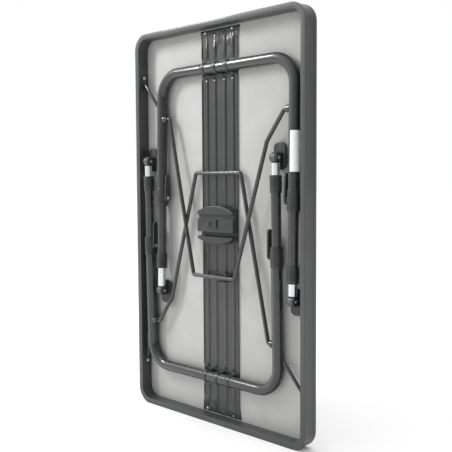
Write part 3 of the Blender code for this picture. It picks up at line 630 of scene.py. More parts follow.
@dataclass(frozen=True)
class TableTop:
    """The panel, its rolled surround, the pressed beam and the saddles over the leg tubes."""

    width: float = 0.700
    length: float = 1.200
    corner_radius: float = 0.050
    rail_width: float = 0.0167
    rail_top: float = 0.0396
    rail_wall: float = 0.0014
    bead_depth: float = 0.0012
    panel_thickness: float = 0.0092
    beam_width: float = 0.150
    beam_end: float = 0.580
    beam_sheet: float = 0.0012
    bead_height: float = 0.0055
    bead_half: float = 0.0085
    beads: tuple[float, ...] = (-0.054, -0.020, 0.020, 0.054)
    hinge_y: float = 0.465
    hinge_z: float = 0.0185
    tube_radius: float = 0.0165
    strap_width: float = 0.016
    strap_thickness: float = 0.0013
    straps: tuple[float, ...] = (-0.045, 0.003, 0.051)
    rivet_x: tuple[float, ...] = (-0.062, 0.050)
    rivet_y: float = 0.5745
    rail_rivet_head: float = 0.3287

    def place(self) -> Matrix:
        """Returns the matrix from the table's own frame to the room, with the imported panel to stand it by."""
        stand_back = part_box("panel")[0].y
        return Matrix.Translation((0, stand_back, self.length / 2)) @ turned(90, "X")

    def build(self) -> None:
        """Builds every piece that is fixed to the table top."""
        self.build_panel()
        self.build_surround()
        self.build_beam()
        self.build_beam_rivets()
        for pair, side in ((Pair.UPPER, 1), (Pair.LOWER, -1)):
            self.build_saddle(pair, side)
        self.build_hook()
        self.build_hinge_rivets()

    def build_panel(self) -> None:
        """Builds the laminated sheet."""
        inset = self.bead_depth + self.rail_wall + CLEARANCE
        x, y = self.width / 2 - inset, self.length / 2 - inset
        bm = rounded_slab((-x, -y, -self.panel_thickness), (x, y, 0.0), self.corner_radius - inset, 16)
        soften(bm, 0.0005)
        piece(bm, "table_panel", LAMINATE, "table", self.place(), ["panel"])

    def rail_section(self) -> list[Point]:
        """Returns the channel's section: out from its inner wall, and up from the panel's underside."""
        outer, wall, top = self.rail_width, self.rail_wall, self.rail_top
        groove = outer - self.bead_depth
        foot = -self.panel_thickness
        corners = [
            (0.0, CLEARANCE), (wall, CLEARANCE), (wall, top - wall), (groove - wall, top - wall),
            (groove - wall, foot), (outer, foot), (outer, foot + 0.0095), (groove, foot + 0.0125),
            (groove, top - 0.0085), (outer, top - 0.0055), (outer, top), (0.0, top),
        ]
        return rounded_section(corners, 0.0006, 3)

    def build_surround(self) -> None:
        """Builds the surround as one channel rolled round the four rounded corners."""
        radius = self.corner_radius - self.rail_width
        start = Vector((0, -self.length / 2 + self.rail_width, 0))
        rail = Bender(self.rail_section(), start, X_AXIS, Z_AXIS)
        half_x = self.width / 2 - self.corner_radius
        straight_y = self.length - 2 * self.corner_radius
        inward = (Y_AXIS, -X_AXIS, -Y_AXIS, X_AXIS)
        lengths = (half_x, straight_y, 2 * half_x, straight_y)
        for length, side in zip(lengths, inward):
            rail.run(length).bend(side, radius, 90, 14)
        rail.run(half_x)
        nodes = ["end_rail_top", "end_rail_bottom", "side_rail_left", "side_rail_right"]
        piece(rail.looped(), "rail_surround", RAIL_COAT, "table", self.place(), nodes, 28)

    def beam_height(self, x: float, y: float) -> float:
        """Returns the height of the pressed sheet at a point of the beam.

        Args:
            x: Across the beam.
            y: Along the beam.

        Returns:
            The height of the sheet's lower face.
        """
        rise = self.bead_height - self.beam_sheet - CLEARANCE
        from_hinge = abs(abs(y) - self.hinge_y)
        seat = min(1.0, max(0.0, (from_hinge - 0.0255) / 0.010))
        end = min(1.0, max(0.0, (self.beam_end - 0.008 - abs(y)) / 0.045))
        pressed = 0.0
        for centre in self.beads:
            away = abs(x - centre) / self.bead_half
            if away < 1.0:
                pressed = 0.5 + 0.5 * math.cos(math.pi * away)
                pressed = min(1.0, pressed * 1.6)
        lip = max(0.0, (abs(x) - self.beam_width / 2 + 0.003) / 0.003)
        beaten = min(1.0, max(0.0, (abs(y) - 0.494) / 0.030))
        crumple = noise.noise(Vector((x * 48, y * 36, 3.7))) * beaten * 0.0032
        return CLEARANCE + rise * max(pressed * seat * end, min(1.0, lip) * seat * end) + max(0.0, crumple)

    def build_beam(self) -> None:
        """Builds the pressed beam: four beads, turned-up edges, and ends beaten flat and a little wider."""
        bm = bmesh.new()
        across, along = 132, 240
        size = Matrix.Diagonal((self.beam_width / 2, self.beam_end, 1, 1))
        bmesh.ops.create_grid(bm, x_segments=across, y_segments=along, size=1.0, matrix=size)
        flare = 0.0065
        for vert in bm.verts:
            x, y = vert.co.x, vert.co.y
            vert.co.z = self.beam_height(x, y)
            flat = max(0.0, min(1.0, (abs(y) - self.beam_end + 0.040) / 0.040))
            vert.co.x = x * (1 + flat * flare / (self.beam_width / 2))
        bmesh.ops.recalc_face_normals(bm, faces=bm.faces)
        if sum(face.normal.z for face in bm.faces) < 0:
            bmesh.ops.reverse_faces(bm, faces=bm.faces)
        obj = piece(bm, "pressed_beam", BEAM_COAT, "table", self.place(), ["spine"], 40)
        sheet = obj.modifiers.new("sheet", "SOLIDIFY")
        sheet.thickness = self.beam_sheet
        sheet.offset = 1.0

    def build_beam_rivets(self) -> None:
        """Builds the bright rivets through the flattened ends of the beam."""
        base = CLEARANCE + self.beam_sheet
        head = [(0.0, 0.0022), (0.0024, 0.0018), (0.0040, 0.0005), (0.0040, -0.0004), (0.0, -0.0004)]
        spots = [(x, self.rivet_y * side, base) for side in (1, -1) for x in self.rivet_x]
        bm = joined([moved(lathe(head, 24, False), Matrix.Translation(spot)) for spot in spots])
        piece(bm, "beam_rivets", ZINC, "table", self.place())

    def build_saddle(self, pair: Pair, side: int) -> None:
        """Builds the three straps that hold a leg pair's cross tube, with their feet and the two strips that
        run across the feet.

        Args:
            pair: The leg pair.
            side: +1 at the upper end of the table, -1 at the lower end.
        """
        base = 2 * CLEARANCE + self.beam_sheet
        thick, wide = self.strap_thickness, self.strap_width
        middle = self.tube_radius + CLEARANCE + thick / 2
        turn, foot = 0.0016, 0.0050
        rib = 0.0007
        half = [(wide / 2, -thick / 2), (wide / 2, thick / 2)]
        half += [(wide * 0.3, thick / 2), (wide * 0.22, thick / 2 + rib)]
        section = rounded_section([*half, *((-x, y) for x, y in reversed(half))], 0.0004, 2)
        parts = []
        for x in self.straps:
            centre = Vector((x, side * self.hinge_y, self.hinge_z))
            start = centre + Vector((0, -middle - foot - turn, base + thick / 2 - self.hinge_z))
            strap = Bender(section, start, Y_AXIS, Z_AXIS)
            strap.run(foot).bend(Z_AXIS, turn, 90, 4)
            strap.run(self.hinge_z - strap.place.z)
            strap.bend(Y_AXIS, middle, 180, 20)
            strap.run(strap.place.z - base - thick / 2 - turn).bend(Y_AXIS, turn, 90, 4).run(foot)
            parts.append(strap.capped())
        strip_half = self.straps[-1] + wide * 0.6
        for way in (-1, 1):
            y = side * self.hinge_y + way * (middle + turn + foot - 0.0010)
            low, high = (-strip_half, y - 0.0020, base), (strip_half, y + 0.0020, base + thick + 0.0002)
            parts.append(rounded_slab(low, high, 0.0015, 4))
        name = "saddle_" + pair.value
        piece(joined(parts), name, BEAM_COAT, "table", self.place(), ["hinge_" + name])

    def build_hook(self) -> None:
        """Builds the strip hook that keeps the stowed brace in its place."""
        thick, half = 0.0013, 0.0190
        corners = [(-half, -thick / 2), (half, -thick / 2), (half, thick / 2), (-half, thick / 2)]
        section = rounded_section(corners, 0.0004, 2)
        rod_at, gape, floor, jaw, lip = -0.1548, 0.0107, 0.0063, 0.0340, 0.0045
        rise = [(gape, floor), (gape, jaw), (gape + lip, jaw + lip)]
        line = [*((-y, z) for y, z in reversed(rise)), *rise]
        path = [Vector((0.036, rod_at + y, z)) for y, z in line]
        hook = Bender(section, path[0], path[1] - path[0], Y_AXIS).follow(path, 0.0016, 5)
        piece(hook.capped(), "stow_hook", BEAM_COAT, "table", self.place())

    def build_hinge_rivets(self) -> None:
        """Builds the four rivets in the side rails that the stays turn on."""
        wall = self.width / 2 - self.rail_width
        tab = self.rail_rivet_head
        profile = [
            (0.0, wall - CLEARANCE), (0.0030, wall - CLEARANCE), (0.0030, tab), (0.0056, tab),
            (0.0058, tab - 0.0005), (0.0050, tab - 0.0016), (0.0032, tab - 0.0024), (0.0, tab - 0.0026),
        ]
        for side, hand in ((-1, "left"), (1, "right")):
            for y, end in ((self.hinge_y, "top"), (-self.hinge_y, "bottom")):
                bm = lathe(profile, 28, False)
                lay = Matrix.Translation((0, y, self.hinge_z)) @ turned(90 * side, "Y")
                name = f"{end}_{hand}"
                nodes = ["hinge_rivet_" + name]
                piece(moved(bm, lay), "stay_rivet_" + name, ZINC, "table", self.place(), nodes)


# ---------------------------------------------------------------- the centre lock


@dataclass(frozen=True)
class CentreLock:
    """The moulded lock in the middle of the beam, with two grooves for the braces' cross bars."""

    table: TableTop
    half_width: float = 0.075
    half_length: float = 0.0585
    base: float = 0.0060
    top: float = 0.0300
    sweep: float = 27.8
    tip: float = 0.0065
    crown: float = 0.0045
    plate_top: float = 0.0275
    upper_groove: Triple = (0.0175, 0.0316, 0.0208)
    lower_groove: Triple = (-0.0352, -0.0213, 0.0090)
    pocket: tuple[Triple, Triple] = ((-0.0470, 0.0050, 0.0130), (0.0070, 0.0140, 0.0340))
    screws: tuple[Point, ...] = ((0.052, 0.0405), (-0.052, 0.0405), (-0.052, -0.0425), (0.052, -0.0425))

    def build(self) -> None:
        """Builds the lock's block, its screws and its catch, and finishes its spring."""
        self.build_block()
        self.build_screws()
        self.build_catch()
        spring = bpy.data.objects["lock_spring"]
        spring.data.materials.clear()
        spring.data.materials.append(ZINC.material())

    def blank(self) -> BMesh:
        """Returns the uncut block: the rim's profile swept along two arched sides and round four tips."""
        bulge = self.half_width / math.sin(math.radians(self.sweep))
        turn = math.asin((self.half_width - self.tip) / (bulge - self.tip))
        corner = Vector((self.half_width - self.tip, 0, 0))
        corner.y = self.half_length - bulge + (bulge - self.tip) * math.cos(turn)
        sweeps = [
            (Vector((0, self.half_length - bulge, 0)), bulge, math.pi / 2 - turn, 2 * turn, 40),
            (corner, self.tip, 0.0, math.pi / 2 - turn, 6),
            (corner * Vector((-1, 1, 1)), self.tip, math.pi / 2 + turn, math.pi / 2 - turn, 6),
        ]
        rim = [(0.0, self.base)]
        for step in range(7):
            angle = math.pi / 2 * step / 6
            rim.append((self.crown * (1 - math.cos(angle)), self.top - self.crown * (1 - math.sin(angle))))
        bm = bmesh.new()
        for half in (0.0, math.pi):
            for centre, reach, start, sweep, steps in sweeps:
                edges = polyline(bm, [(reach - inset, 0, z) for inset, z in rim], False)
                verts = list({vert for edge in edges for vert in edge.verts})
                spot = Matrix.Rotation(half, 4, "Z") @ Matrix.Translation(centre)
                bmesh.ops.transform(bm, matrix=spot @ Matrix.Rotation(start, 4, "Z"), verts=verts)
                bmesh.ops.spin(
                    bm, geom=verts + edges, cent=spot.translation, axis=(0, 0, 1), angle=sweep, steps=steps,
                    use_duplicate=False,
                )
        return hull(bm)

    def build_block(self) -> None:
        """Builds the block with its grooves and the catch's pocket."""
        place = self.table.place()
        block = piece(self.blank(), "lock_block", NYLON, "table", place, ["lock_base"], 30)
        cut(block, [moved(tool, place) for tool in self.cutters()])
        mesh = bmesh.new()
        mesh.from_mesh(block.data)
        bmesh.ops.dissolve_limit(mesh, angle_limit=math.radians(0.5), verts=mesh.verts, edges=mesh.edges)
        soften(mesh, 0.0006, 38, 2)
        mesh.to_mesh(block.data)
        mesh.free()
        block.data.materials.clear()
        block.data.materials.append(NYLON.material())
        shade(block.data, 30)

    def cutters(self) -> list[BMesh]:
        """Returns the shapes to cut: down to the middle plate, the two grooves and the catch's pocket."""
        clear = self.top + 0.004
        wide = self.half_width + 0.005
        low, high = (-wide, self.lower_groove[0], self.plate_top), (wide, self.upper_groove[1], clear)
        tools = [rounded_slab(low, high, 0.0005, 1)]
        for near, far, floor in (self.upper_groove, self.lower_groove):
            corners = [(near, clear), (far, clear), (far, floor), (near, floor)]
            section = rounded_section(corners, 0.0030, 4)
            tools.append(Bender(section, Vector((wide, 0, 0)), -X_AXIS, Z_AXIS).run(2 * wide).capped())
        tools.append(rounded_slab(*self.pocket, 0.0015, 4))
        return tools

    def build_screws(self) -> None:
        """Builds the small domed screws that hold the block to the beam."""
        head = [(0.0, 0.0006), (0.0016, 0.0006), (0.0030, -0.0002), (0.0030, -0.0020), (0.0, -0.0020)]
        parts = [moved(lathe(head, 20, False), Matrix.Translation((*spot, self.top))) for spot in self.screws]
        piece(joined(parts), "lock_screws", BLACK_STEEL, "table", self.table.place())

    def build_catch(self) -> None:
        """Builds the thumb slider with its grip ribs."""
        stem = rounded_slab((-0.0465, 0.0055, 0.0185), (-0.0065, 0.0135, 0.0270), 0.0015, 4)
        thumb = rounded_slab((-0.0270, -0.0110, self.plate_top + 0.0002), (0.0100, 0.0155, 0.0312), 0.0045, 6)
        soften(stem, 0.0004)
        soften(thumb, 0.0011, 35, 3)
        parts = [stem, thumb]
        for rib in range(4):
            x = -0.0225 + rib * 0.0036
            parts.append(rounded_slab((x, -0.0070, 0.0308), (x + 0.0015, 0.0115, 0.0319), 0.0005, 2))
        piece(joined(parts), "lock_catch", NYLON, "lock_slider", self.table.place(), ["lock_slider"])


# ---------------------------------------------------------------- the legs


@dataclass(frozen=True)
class LegPair:
    """One folding leg pair: the bent tube with its stays and brace, and what its two posts carry."""

    pair: Pair
    top: TableTop
    tilt: float = 1.0
    tube_radius: float = 0.0165
    wall: float = 0.0022
    bore: float = 0.245
    bend_radius: float = 0.075
    inner_x: float = -0.240
    outer_x: float = 0.300
    post_length: float = 0.405
    brace_radius: float = 0.0060
    brace_pivot: float = 0.140
    brace_length: float = 0.480
    brace_bend: tuple[float, float] = (0.203, 0.085)
    stay_radius: float = 0.0050
    stay_from: float = 0.095
    tab_x: float = 0.3305
    tab_thickness: float = 0.0030

    def either(self, upper: float, lower: float) -> float:
        """Returns the first value for the upper pair and the second for the lower pair."""
        return upper if self.pair is Pair.UPPER else lower

    @property
    def letter(self) -> str:
        """The pair's letter in body and node names."""
        return self.pair.value

    @property
    def body(self) -> str:
        """The body that the bent tube rides on."""
        return "leg_" + self.letter

    def place(self) -> Matrix:
        """Returns the matrix from the leg pair's drawing frame to the room."""
        hinge = Matrix.Translation((0, self.either(1, -1) * self.top.hinge_y, self.top.hinge_z))
        return self.top.place() @ hinge @ turned(self.either(0, 180), "Z") @ turned(-self.tilt, "X")

    def build(self) -> None:
        """Builds the whole leg pair."""
        self.build_frame()
        self.build_stays()
        self.build_brace()
        for post in Post:
            Leg(self, post).build()

    def build_frame(self) -> None:
        """Builds the bent tube with its welded brace bushes."""
        corners = [
            (self.inner_x, -self.post_length, 0), (self.inner_x, 0, 0), (self.outer_x, 0, 0),
            (self.outer_x, -self.post_length, 0),
        ]
        tube = Bender(self.tube_radius, Vector(corners[0]), Y_AXIS, Z_AXIS, 40)
        parts = [bored(tube.follow(corners, self.bend_radius, 18).capped(), self.wall, self.bore)]
        for post, inward in ((self.inner_x, 1), (self.outer_x, -1)):
            face = self.tube_radius - 0.0045
            profile = [
                (self.brace_radius + CLEARANCE, face), (0.0128, face), (0.0124, face + 0.0050),
                (0.0106, face + 0.0068), (0.0105, face + 0.0138), (0.0098, face + 0.0145),
                (self.brace_radius + CLEARANCE, face + 0.0145),
            ]
            lay = Matrix.Translation((post, -self.brace_pivot, 0)) @ turned(90 * inward, "Y")
            parts.append(moved(lathe(profile, 36), lay))
        nodes = ["leg_frame_" + self.letter]
        piece(joined(parts), "bent_tube_" + self.letter, TUBE_COAT, self.body, self.place(), nodes)

    def build_stays(self) -> None:
        """Builds the thin rod from each post to its flattened eye beside the rail."""
        for post, x, out in ((Post.INNER, self.inner_x, -1), (Post.OUTER, self.outer_x, 1)):
            reach = self.tab_x - 0.0050 - (0.0025 if out > 0 else 0.0)
            start = abs(x) + self.tube_radius + self.stay_radius + CLEARANCE
            first = Vector((out * (reach if out > 0 else start), -self.stay_from, 0))
            last = Vector((out * (reach + 0.0015), -0.018, 0))
            rod = Bender(self.stay_radius, first, last - first, Z_AXIS, 24)
            rod = rod.run((last - first).length).capped()
            soften(rod, 0.0008, 60)
            tab = tapered_pill([(0, 0, 0.0090), (0, -0.033, 0.0050)], self.tab_thickness, 32)
            soften(tab, 0.0004)
            upright = Matrix(((0, 0, out, out * self.tab_x), (0, 1, 0, 0), (-out, 0, 0, 0), (0, 0, 0, 1)))
            name = f"stay_{self.letter}_{post.value}"
            shape = joined([rod, moved(tab, upright)])
            piece(shape, "rod_" + name, TUBE_COAT, self.body, self.place(), [name])

    def build_brace(self) -> None:
        """Builds the bent rod that runs to the centre lock."""
        half, stowed = self.either(0.086, 0.094), self.either(0.034, 0.013)
        tilt = math.radians(self.tilt)
        rise = math.asin((stowed - self.top.hinge_z - self.brace_pivot * math.sin(tilt)) / self.brace_length)
        hang = Matrix.Translation((0, -self.brace_pivot, 0)) @ Matrix.Rotation(tilt - rise, 4, "X")
        inner, outer = self.inner_x + self.tube_radius, self.outer_x - self.tube_radius
        turn_in, bend_x, bend_at = 0.0190, *self.brace_bend
        corners = [
            (inner + 0.0015, 0, 0), (inner + turn_in, 0, 0), (-half, -self.brace_length, 0),
            (half, -self.brace_length, 0), (bend_x, -bend_at, 0), (outer - turn_in, 0, 0),
            (outer - 0.0015, 0, 0),
        ]
        rod = Bender(self.brace_radius, Vector(corners[0]), X_AXIS, Z_AXIS, 24).follow(corners, 0.0075, 8)
        name = "brace_" + self.letter
        piece(rod.capped(), "rod_" + name, TUBE_COAT, name, self.place() @ hang, [name])


@dataclass(frozen=True)
class Leg:
    """What one post carries: clamp, lever, drawn tube, twist collar, bright foot tube, ankle and foot."""

    legs: LegPair
    post: Post
    clamp: tuple[float, float] = (0.357, 0.415)
    lever_at: float = 0.388
    lever_length: float = 0.075
    lever_offset: float = 0.0220
    lever_thickness: float = 0.0065
    drawn_radius: float = 0.0140
    drawn: tuple[float, float] = (0.303, 0.590)
    collar_radius: float = 0.0175
    collar: tuple[float, float] = (0.564, 0.612)
    drawn_wall: float = 0.0010
    foot_radius: float = 0.0125
    foot_wall: float = 0.0012
    foot_tube: tuple[float, float] = (0.500, 0.645)
    first_foot_out: float = 0.025
    ankle_at: float = 0.660
    ankle_radius: float = 0.0125
    ankle_half: float = 0.0080
    pin_radius: float = 0.0030
    sole_depth: float = 0.0260
    pad_thickness: float = 0.0090
    pad_half_width: float = 0.0210
    heel: float = 0.033
    toe: float = 0.041
    ear: float = 0.0040

    @property
    def tag(self) -> str:
        """The leg's name in body and node names."""
        return f"{self.legs.letter}_{self.post.value}"

    @property
    def inward(self) -> int:
        """+1 where the middle of the table lies towards +X of the drawing frame, else -1."""
        return 1 if self.post is Post.INNER else -1

    @property
    def drawn_out(self) -> float:
        """How far the foot tube is drawn out beyond the others."""
        return self.first_foot_out if self.tag == "a_inner" else 0.0

    def place(self, drawn_out: float = 0.0) -> Matrix:
        """Returns the matrix from the post's own frame, drawn out along the post, to the room."""
        x = self.legs.inner_x if self.post is Post.INNER else self.legs.outer_x
        return self.legs.place() @ Matrix.Translation((x, -drawn_out, 0))

    def across(self, at: float, side: int = 1) -> Matrix:
        """Returns the matrix that lays a piece turned round Z across the post, heights towards side * X."""
        return Matrix.Translation((0, -at, 0)) @ turned(90 * side, "Y")

    def build(self) -> None:
        """Builds the leg from its clamp to its foot."""
        self.build_clamp()
        self.build_lever()
        self.build_drawn_tube()
        self.build_collar()
        self.build_foot_tube()
        self.build_ankle()
        self.build_foot()

    def build_clamp(self) -> None:
        """Builds the stepped sleeve with its rings and the boss that carries the lever."""
        near, far = self.clamp
        seat = self.legs.post_length + 0.0005
        post_bore = self.legs.tube_radius + CLEARANCE
        bore = self.drawn_radius + CLEARANCE
        profile = [
            (0.0170, far), (0.0180, far - 0.0008), (0.0186, far - 0.0030), (0.0186, far - 0.0090),
            (0.0179, far - 0.0098), (0.0179, far - 0.0115), (0.0186, far - 0.0123), (0.0186, near + 0.0120),
            (0.0180, near + 0.0112), (0.0180, near + 0.0080), (0.0185, near + 0.0072),
            (0.0184, near + 0.0030), (0.0178, near + 0.0006), (0.0174, near), (post_bore, near),
            (post_bore, seat), (bore, seat), (bore, far),
        ]
        sleeve = moved(lathe(profile, 44), ALONG_POST)
        boss_out = self.lever_offset - CLEARANCE
        low_x, high_x = sorted((self.inward * 0.0175, self.inward * boss_out))
        low, high = (low_x, -self.lever_at - 0.0090, -0.008), (high_x, -self.lever_at + 0.0090, 0.008)
        boss = rounded_slab(low, high, 0.001, 3)
        soften(boss, 0.0008)
        name = "clamp_" + self.tag
        piece(joined([sleeve, boss]), "sleeve_" + name, NYLON, self.legs.body, self.place(), [name])

    def build_lever(self) -> None:
        """Builds the clamp's lever and the rivet that it turns on."""
        up = self.legs.either(1, -1)
        eye, tip = 0.0104, 0.0085
        centre = self.inward * (self.lever_offset + self.lever_thickness / 2)
        arm = tapered_pill([(0, 0, eye), (0, self.lever_length - tip, tip)], self.lever_thickness, 32)
        soften(arm, 0.0012, 35, 3)
        side = self.inward
        stand = Matrix(((0, 0, side, centre), (0, up, 0, -self.lever_at), (-side, 0, 0, 0), (0, 0, 0, 1)))
        arm = moved(arm, stand)
        bmesh.ops.recalc_face_normals(arm, faces=arm.faces)
        lever = "clamp_lever_" + self.tag
        piece(arm, "handle_" + self.tag, NYLON, "lever_" + self.tag, self.place(), [lever])
        head = self.lever_offset + self.lever_thickness + CLEARANCE
        profile = [
            (0.0, head + 0.0022), (0.0020, head + 0.0021), (0.0038, head + 0.0015), (0.0050, head + 0.0006),
            (0.0052, head), (self.pin_radius, head), (self.pin_radius, self.lever_offset + CLEARANCE),
            (0.0, self.lever_offset + CLEARANCE),
        ]
        rivet = moved(lathe(profile, 28, False), self.across(self.lever_at, self.inward))
        name = "lever_rivet_" + self.tag
        piece(rivet, "head_" + name, ZINC, self.legs.body, self.place(), [name])

    def build_drawn_tube(self) -> None:
        """Builds the painted tube that slides in the post."""
        near, far = self.drawn
        bore = self.drawn_radius - self.drawn_wall
        profile = [
            (self.drawn_radius - 0.0003, far), (self.drawn_radius, far - 0.0004),
            (self.drawn_radius, near + 0.0004), (self.drawn_radius - 0.0003, near),
            (bore, near), (bore, far),
        ]
        name = "extension_" + self.tag
        tube = moved(lathe(profile, 36), ALONG_POST)
        piece(tube, "drawn_tube_" + self.tag, TUBE_COAT, name, self.place(), [name])

    def build_collar(self) -> None:
        """Builds the twist collar with four turned grip ribs."""
        near, far = self.collar
        seat = self.drawn[1] + 0.0005
        outer, root = self.collar_radius, self.collar_radius - 0.0012
        profile = [(outer - 0.0022, far), (outer - 0.0008, far - 0.0008)]
        profile += [(outer, far - 0.0025), (outer, far - 0.0080)]
        for rib in range(4):
            at = far - 0.0095 - rib * 0.0060
            profile += [(root, at), (root, at - 0.0020), (outer, at - 0.0032), (outer, at - 0.0048)]
        profile += [
            (root, near + 0.0125), (root, near + 0.0040), (outer - 0.0008, near + 0.0025),
            (outer - 0.0014, near), (self.drawn_radius + CLEARANCE, near),
            (self.drawn_radius + CLEARANCE, seat), (self.foot_radius + CLEARANCE, seat),
            (self.foot_radius + CLEARANCE, far),
        ]
        name = "collar_" + self.tag
        piece(moved(lathe(profile, 44), ALONG_POST), "twist_" + name, NYLON, name, self.place(), [name])

    def build_foot_tube(self) -> None:
        """Builds the bright tube that slides in the drawn tube."""
        near, far = self.foot_tube
        outer, inner = self.foot_radius, self.foot_radius - self.foot_wall
        profile = [(outer - 0.0003, far), (outer, far - 0.0004), (outer, near), (inner, near), (inner, far)]
        bm = moved(lathe(profile, 36), ALONG_POST)
        name = "foot_tube_" + self.tag
        piece(bm, "bright_" + name, ALUMINIUM, name, self.place(self.drawn_out), [name])

    def build_ankle(self) -> None:
        """Builds the ankle's plug and barrel, and the pin through it."""
        at, radius, half = self.ankle_at, self.ankle_radius, self.ankle_half
        neck = self.foot_radius - self.foot_wall - CLEARANCE
        end = self.foot_tube[1]
        plug = lathe(
            [
                (0.0, at - 0.0060), (0.0070, at - 0.0060), (0.0075, at - radius - CLEARANCE),
                (0.0108, at - radius - 2 * CLEARANCE), (0.0115, at - radius - 0.0011),
                (0.0115, end + CLEARANCE), (neck, end + CLEARANCE), (neck, end - 0.0150),
                (0.0, end - 0.0150),
            ],
            36,
            False,
        )
        eye = self.pin_radius + CLEARANCE
        knuckle = radius + 0.0022
        barrel = lathe(
            [(eye, -half), (knuckle - 0.0015, -half), (knuckle, -half + 0.0015), (knuckle, half - 0.0015),
             (knuckle - 0.0015, half), (eye, half)],
            36,
        )
        shape = joined([moved(plug, ALONG_POST), moved(barrel, self.across(at))])
        body, place = "foot_tube_" + self.tag, self.place(self.drawn_out)
        piece(shape, "joint_ankle_" + self.tag, ANKLE_NYLON, body, place, ["ankle_" + self.tag])
        head = half + 2 * CLEARANCE + self.ear
        dome = [(0.0, 0.0020), (0.0024, 0.0018), (0.0044, 0.0012), (0.0048, 0.0), (self.pin_radius, 0.0)]
        profile = [(r, head + h) for r, h in dome] + [(r, -head - h) for r, h in reversed(dome)]
        pin = moved(lathe(profile, 28, False), self.across(at))
        piece(pin, "rivet_ankle_" + self.tag, ZINC, body, place, ["ankle_pin_" + self.tag])

    def build_foot(self) -> None:
        """Builds the swivelling pad with its two ears and the ribs of its tread."""
        low, tread = -self.sole_depth, 0.0015
        pad = rounded_slab(
            (-self.pad_half_width, -self.toe, low + tread),
            (self.pad_half_width, self.heel, low + self.pad_thickness), 0.016, 10,
        )
        soften(pad, 0.0015, 35, 3)
        parts = [pad]
        for rib in range(6):
            y = -self.toe + 0.0105 + rib * 0.0100
            top = (0.0165, y + 0.0045, low + tread + 0.0005)
            parts.append(rounded_slab((-0.0165, y, low), top, 0.002, 3))
        for side in (1, -1):
            centre = side * (self.ankle_half + CLEARANCE + self.ear / 2)
            ear = bmesh.new()
            bmesh.ops.create_cone(ear, cap_ends=True, segments=40, radius1=self.ankle_radius,
                                  radius2=self.ankle_radius, depth=self.ear)
            depth = self.sole_depth - self.pad_thickness / 2
            size = Matrix.Diagonal((0.002, 2 * self.ankle_radius, self.ear, 1))
            bmesh.ops.create_cube(ear, size=1.0, matrix=Matrix.Translation((depth - 0.001, 0, 0)) @ size)
            ear = hull(ear)
            soften(ear, 0.0006)
            parts.append(moved(ear, Matrix.Translation((centre, 0, 0)) @ turned(90, "Y")))
        name = "foot_" + self.tag
        place = self.place(self.drawn_out + self.ankle_at)
        piece(joined(parts), "pad_" + name, NYLON, name, place, [name])


@dataclass(frozen=True)
class Label:
    """The blank white label round the front of one post."""

    legs: LegPair
    near: float = 0.200
    far: float = 0.310
    thickness: float = 0.0003
    start_angle: float = -15
    wrap_angle: float = 110

    def build(self) -> None:
        """Builds the label as a thin curved film."""
        radius = self.legs.tube_radius + CLEARANCE
        bm = bmesh.new()
        angle = math.radians(self.start_angle)
        outer = radius + self.thickness
        section = ((radius, self.near), (outer, self.near), (outer, self.far), (radius, self.far))
        edges = polyline(bm, [(r * math.cos(angle), -y, r * math.sin(angle)) for r, y in section], True)
        face = bmesh.ops.contextual_create(bm, geom=edges)["faces"]
        wrap = math.radians(self.wrap_angle)
        bmesh.ops.spin(bm, geom=face, cent=(0, 0, 0), axis=-Y_AXIS, angle=wrap, steps=24, use_duplicate=False)
        bmesh.ops.recalc_face_normals(bm, faces=bm.faces)
        place = self.legs.place() @ Matrix.Translation((self.legs.outer_x, 0, 0))
        piece(bm, "blank_label", FILM, "leg_a", place, ["label"])


# ---------------------------------------------------------------- the room


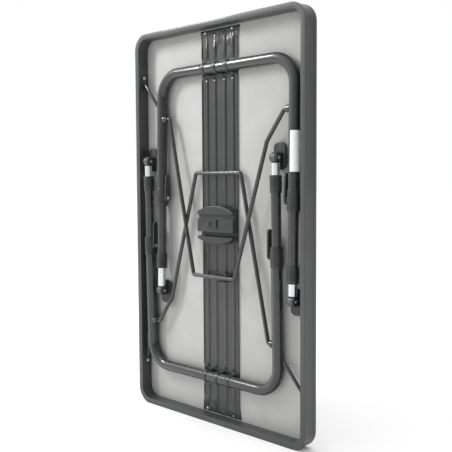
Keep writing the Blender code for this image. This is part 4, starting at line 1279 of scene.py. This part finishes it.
@dataclass(frozen=True)
class Studio:
    """A pale floor, a white surround, one soft lamp and the camera."""

    stand_back: float
    lens: float = 57.84
    camera_at: Triple = (1.5318, -1.5454, 0.7385)
    camera_right: Triple = (0.7152, 0.6989, -0.0058)
    camera_up: Triple = (-0.0416, 0.0508, 0.9978)
    camera_ahead: Triple = (-0.6977, 0.7134, -0.0654)
    bright_side: Triple = (-0.80, 0.05, 0.60)
    contrast: float = 0.85
    surround: float = 0.82
    lamp_at: Triple = (-2.0, -1.7, 2.6)
    lamp_size: tuple[float, float] = (0.5, 1.2)
    lamp_power: float = 60

    def build(self) -> None:
        """Builds the whole room."""
        self.build_camera()
        self.build_floor()
        self.build_surround()
        self.build_lamp()

    def build_camera(self) -> None:
        """Sets the camera in front of the table and to its right, a little above its middle."""
        data = bpy.data.cameras.new("camera")
        data.lens = self.lens
        data.sensor_width = 36.0
        data.clip_start = 0.05
        camera = bpy.data.objects.new("camera", data)
        axes = (self.camera_right, self.camera_up, self.camera_ahead)
        right, up, ahead = (Vector(axis).normalized() for axis in axes)
        frame = Matrix((right, up, -ahead)).transposed().to_4x4()
        frame.translation = Vector(self.camera_at) + Vector((0, self.stand_back, 0))
        camera.matrix_world = frame
        bpy.context.scene.collection.objects.link(camera)
        bpy.context.scene.camera = camera

    def build_floor(self) -> None:
        """Lays a large plain floor under the table."""
        bm = bmesh.new()
        bmesh.ops.create_grid(bm, x_segments=2, y_segments=2, size=30.0)
        mesh = bpy.data.meshes.new("floor")
        bm.to_mesh(mesh)
        bm.free()
        floor = bpy.data.objects.new("floor", mesh)
        bpy.context.scene.collection.objects.link(floor)
        material = bpy.data.materials.new("pale_floor")
        material.use_nodes = True
        shader = material.node_tree.nodes["Principled BSDF"]
        shader.inputs["Base Color"].default_value = linear("ffffff")
        shader.inputs["Roughness"].default_value = 0.9
        mesh.materials.append(material)

    def build_lamp(self) -> None:
        """Adds a soft rectangular lamp that faces the middle of the table."""
        data = bpy.data.lights.new("lamp", "AREA")
        data.shape = "RECTANGLE"
        data.size, data.size_y = self.lamp_size
        data.energy = self.lamp_power
        lamp = bpy.data.objects.new("lamp", data)
        lamp.location = self.lamp_at
        aim = Vector((0, 0, 0.55)) - Vector(self.lamp_at)
        lamp.rotation_euler = aim.to_track_quat("-Z", "Y").to_euler()
        bpy.context.scene.collection.objects.link(lamp)

    def build_surround(self) -> None:
        """Sets a surround that looks plain white, but lights the table more from above and the left."""
        world = bpy.data.worlds.new("surround")
        world.use_nodes = True
        tree = world.node_tree
        background = tree.nodes["Background"]
        background.inputs["Color"].default_value = linear("ffffff")
        ahead = add(tree, "ShaderNodeTexCoord").outputs["Generated"]
        lean = add(tree, "ShaderNodeVectorMath", {"operation": "DOT_PRODUCT"}, {0: ahead})
        lean.inputs[1].default_value = self.bright_side
        soft = add(
            tree,
            "ShaderNodeMapRange",
            {
                "From Min": -1.0, "From Max": 1.0, "To Min": self.surround * (1.0 - self.contrast),
                "To Max": self.surround * (1.0 + self.contrast),
            },
            {"Value": lean.outputs["Value"]},
        )
        seen = add(tree, "ShaderNodeLightPath").outputs["Is Camera Ray"]
        strength = add(
            tree, "ShaderNodeMapRange", {"To Max": 1.0}, {"Value": seen, "To Min": soft.outputs["Result"]}
        )
        tree.links.new(strength.outputs["Result"], background.inputs["Strength"])
        bpy.context.scene.world = world
        bpy.context.scene.view_settings.view_transform = "Standard"


def main() -> None:
    """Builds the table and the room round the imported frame."""
    logging.basicConfig(level=logging.INFO, format="%(message)s")
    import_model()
    top = TableTop()
    Studio(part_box("panel")[0].y).build()
    top.build()
    CentreLock(top).build()
    for pair in Pair:
        LegPair(pair, top).build()
    Label(LegPair(Pair.UPPER, top)).build()


if __name__ == "__main__":
    main()
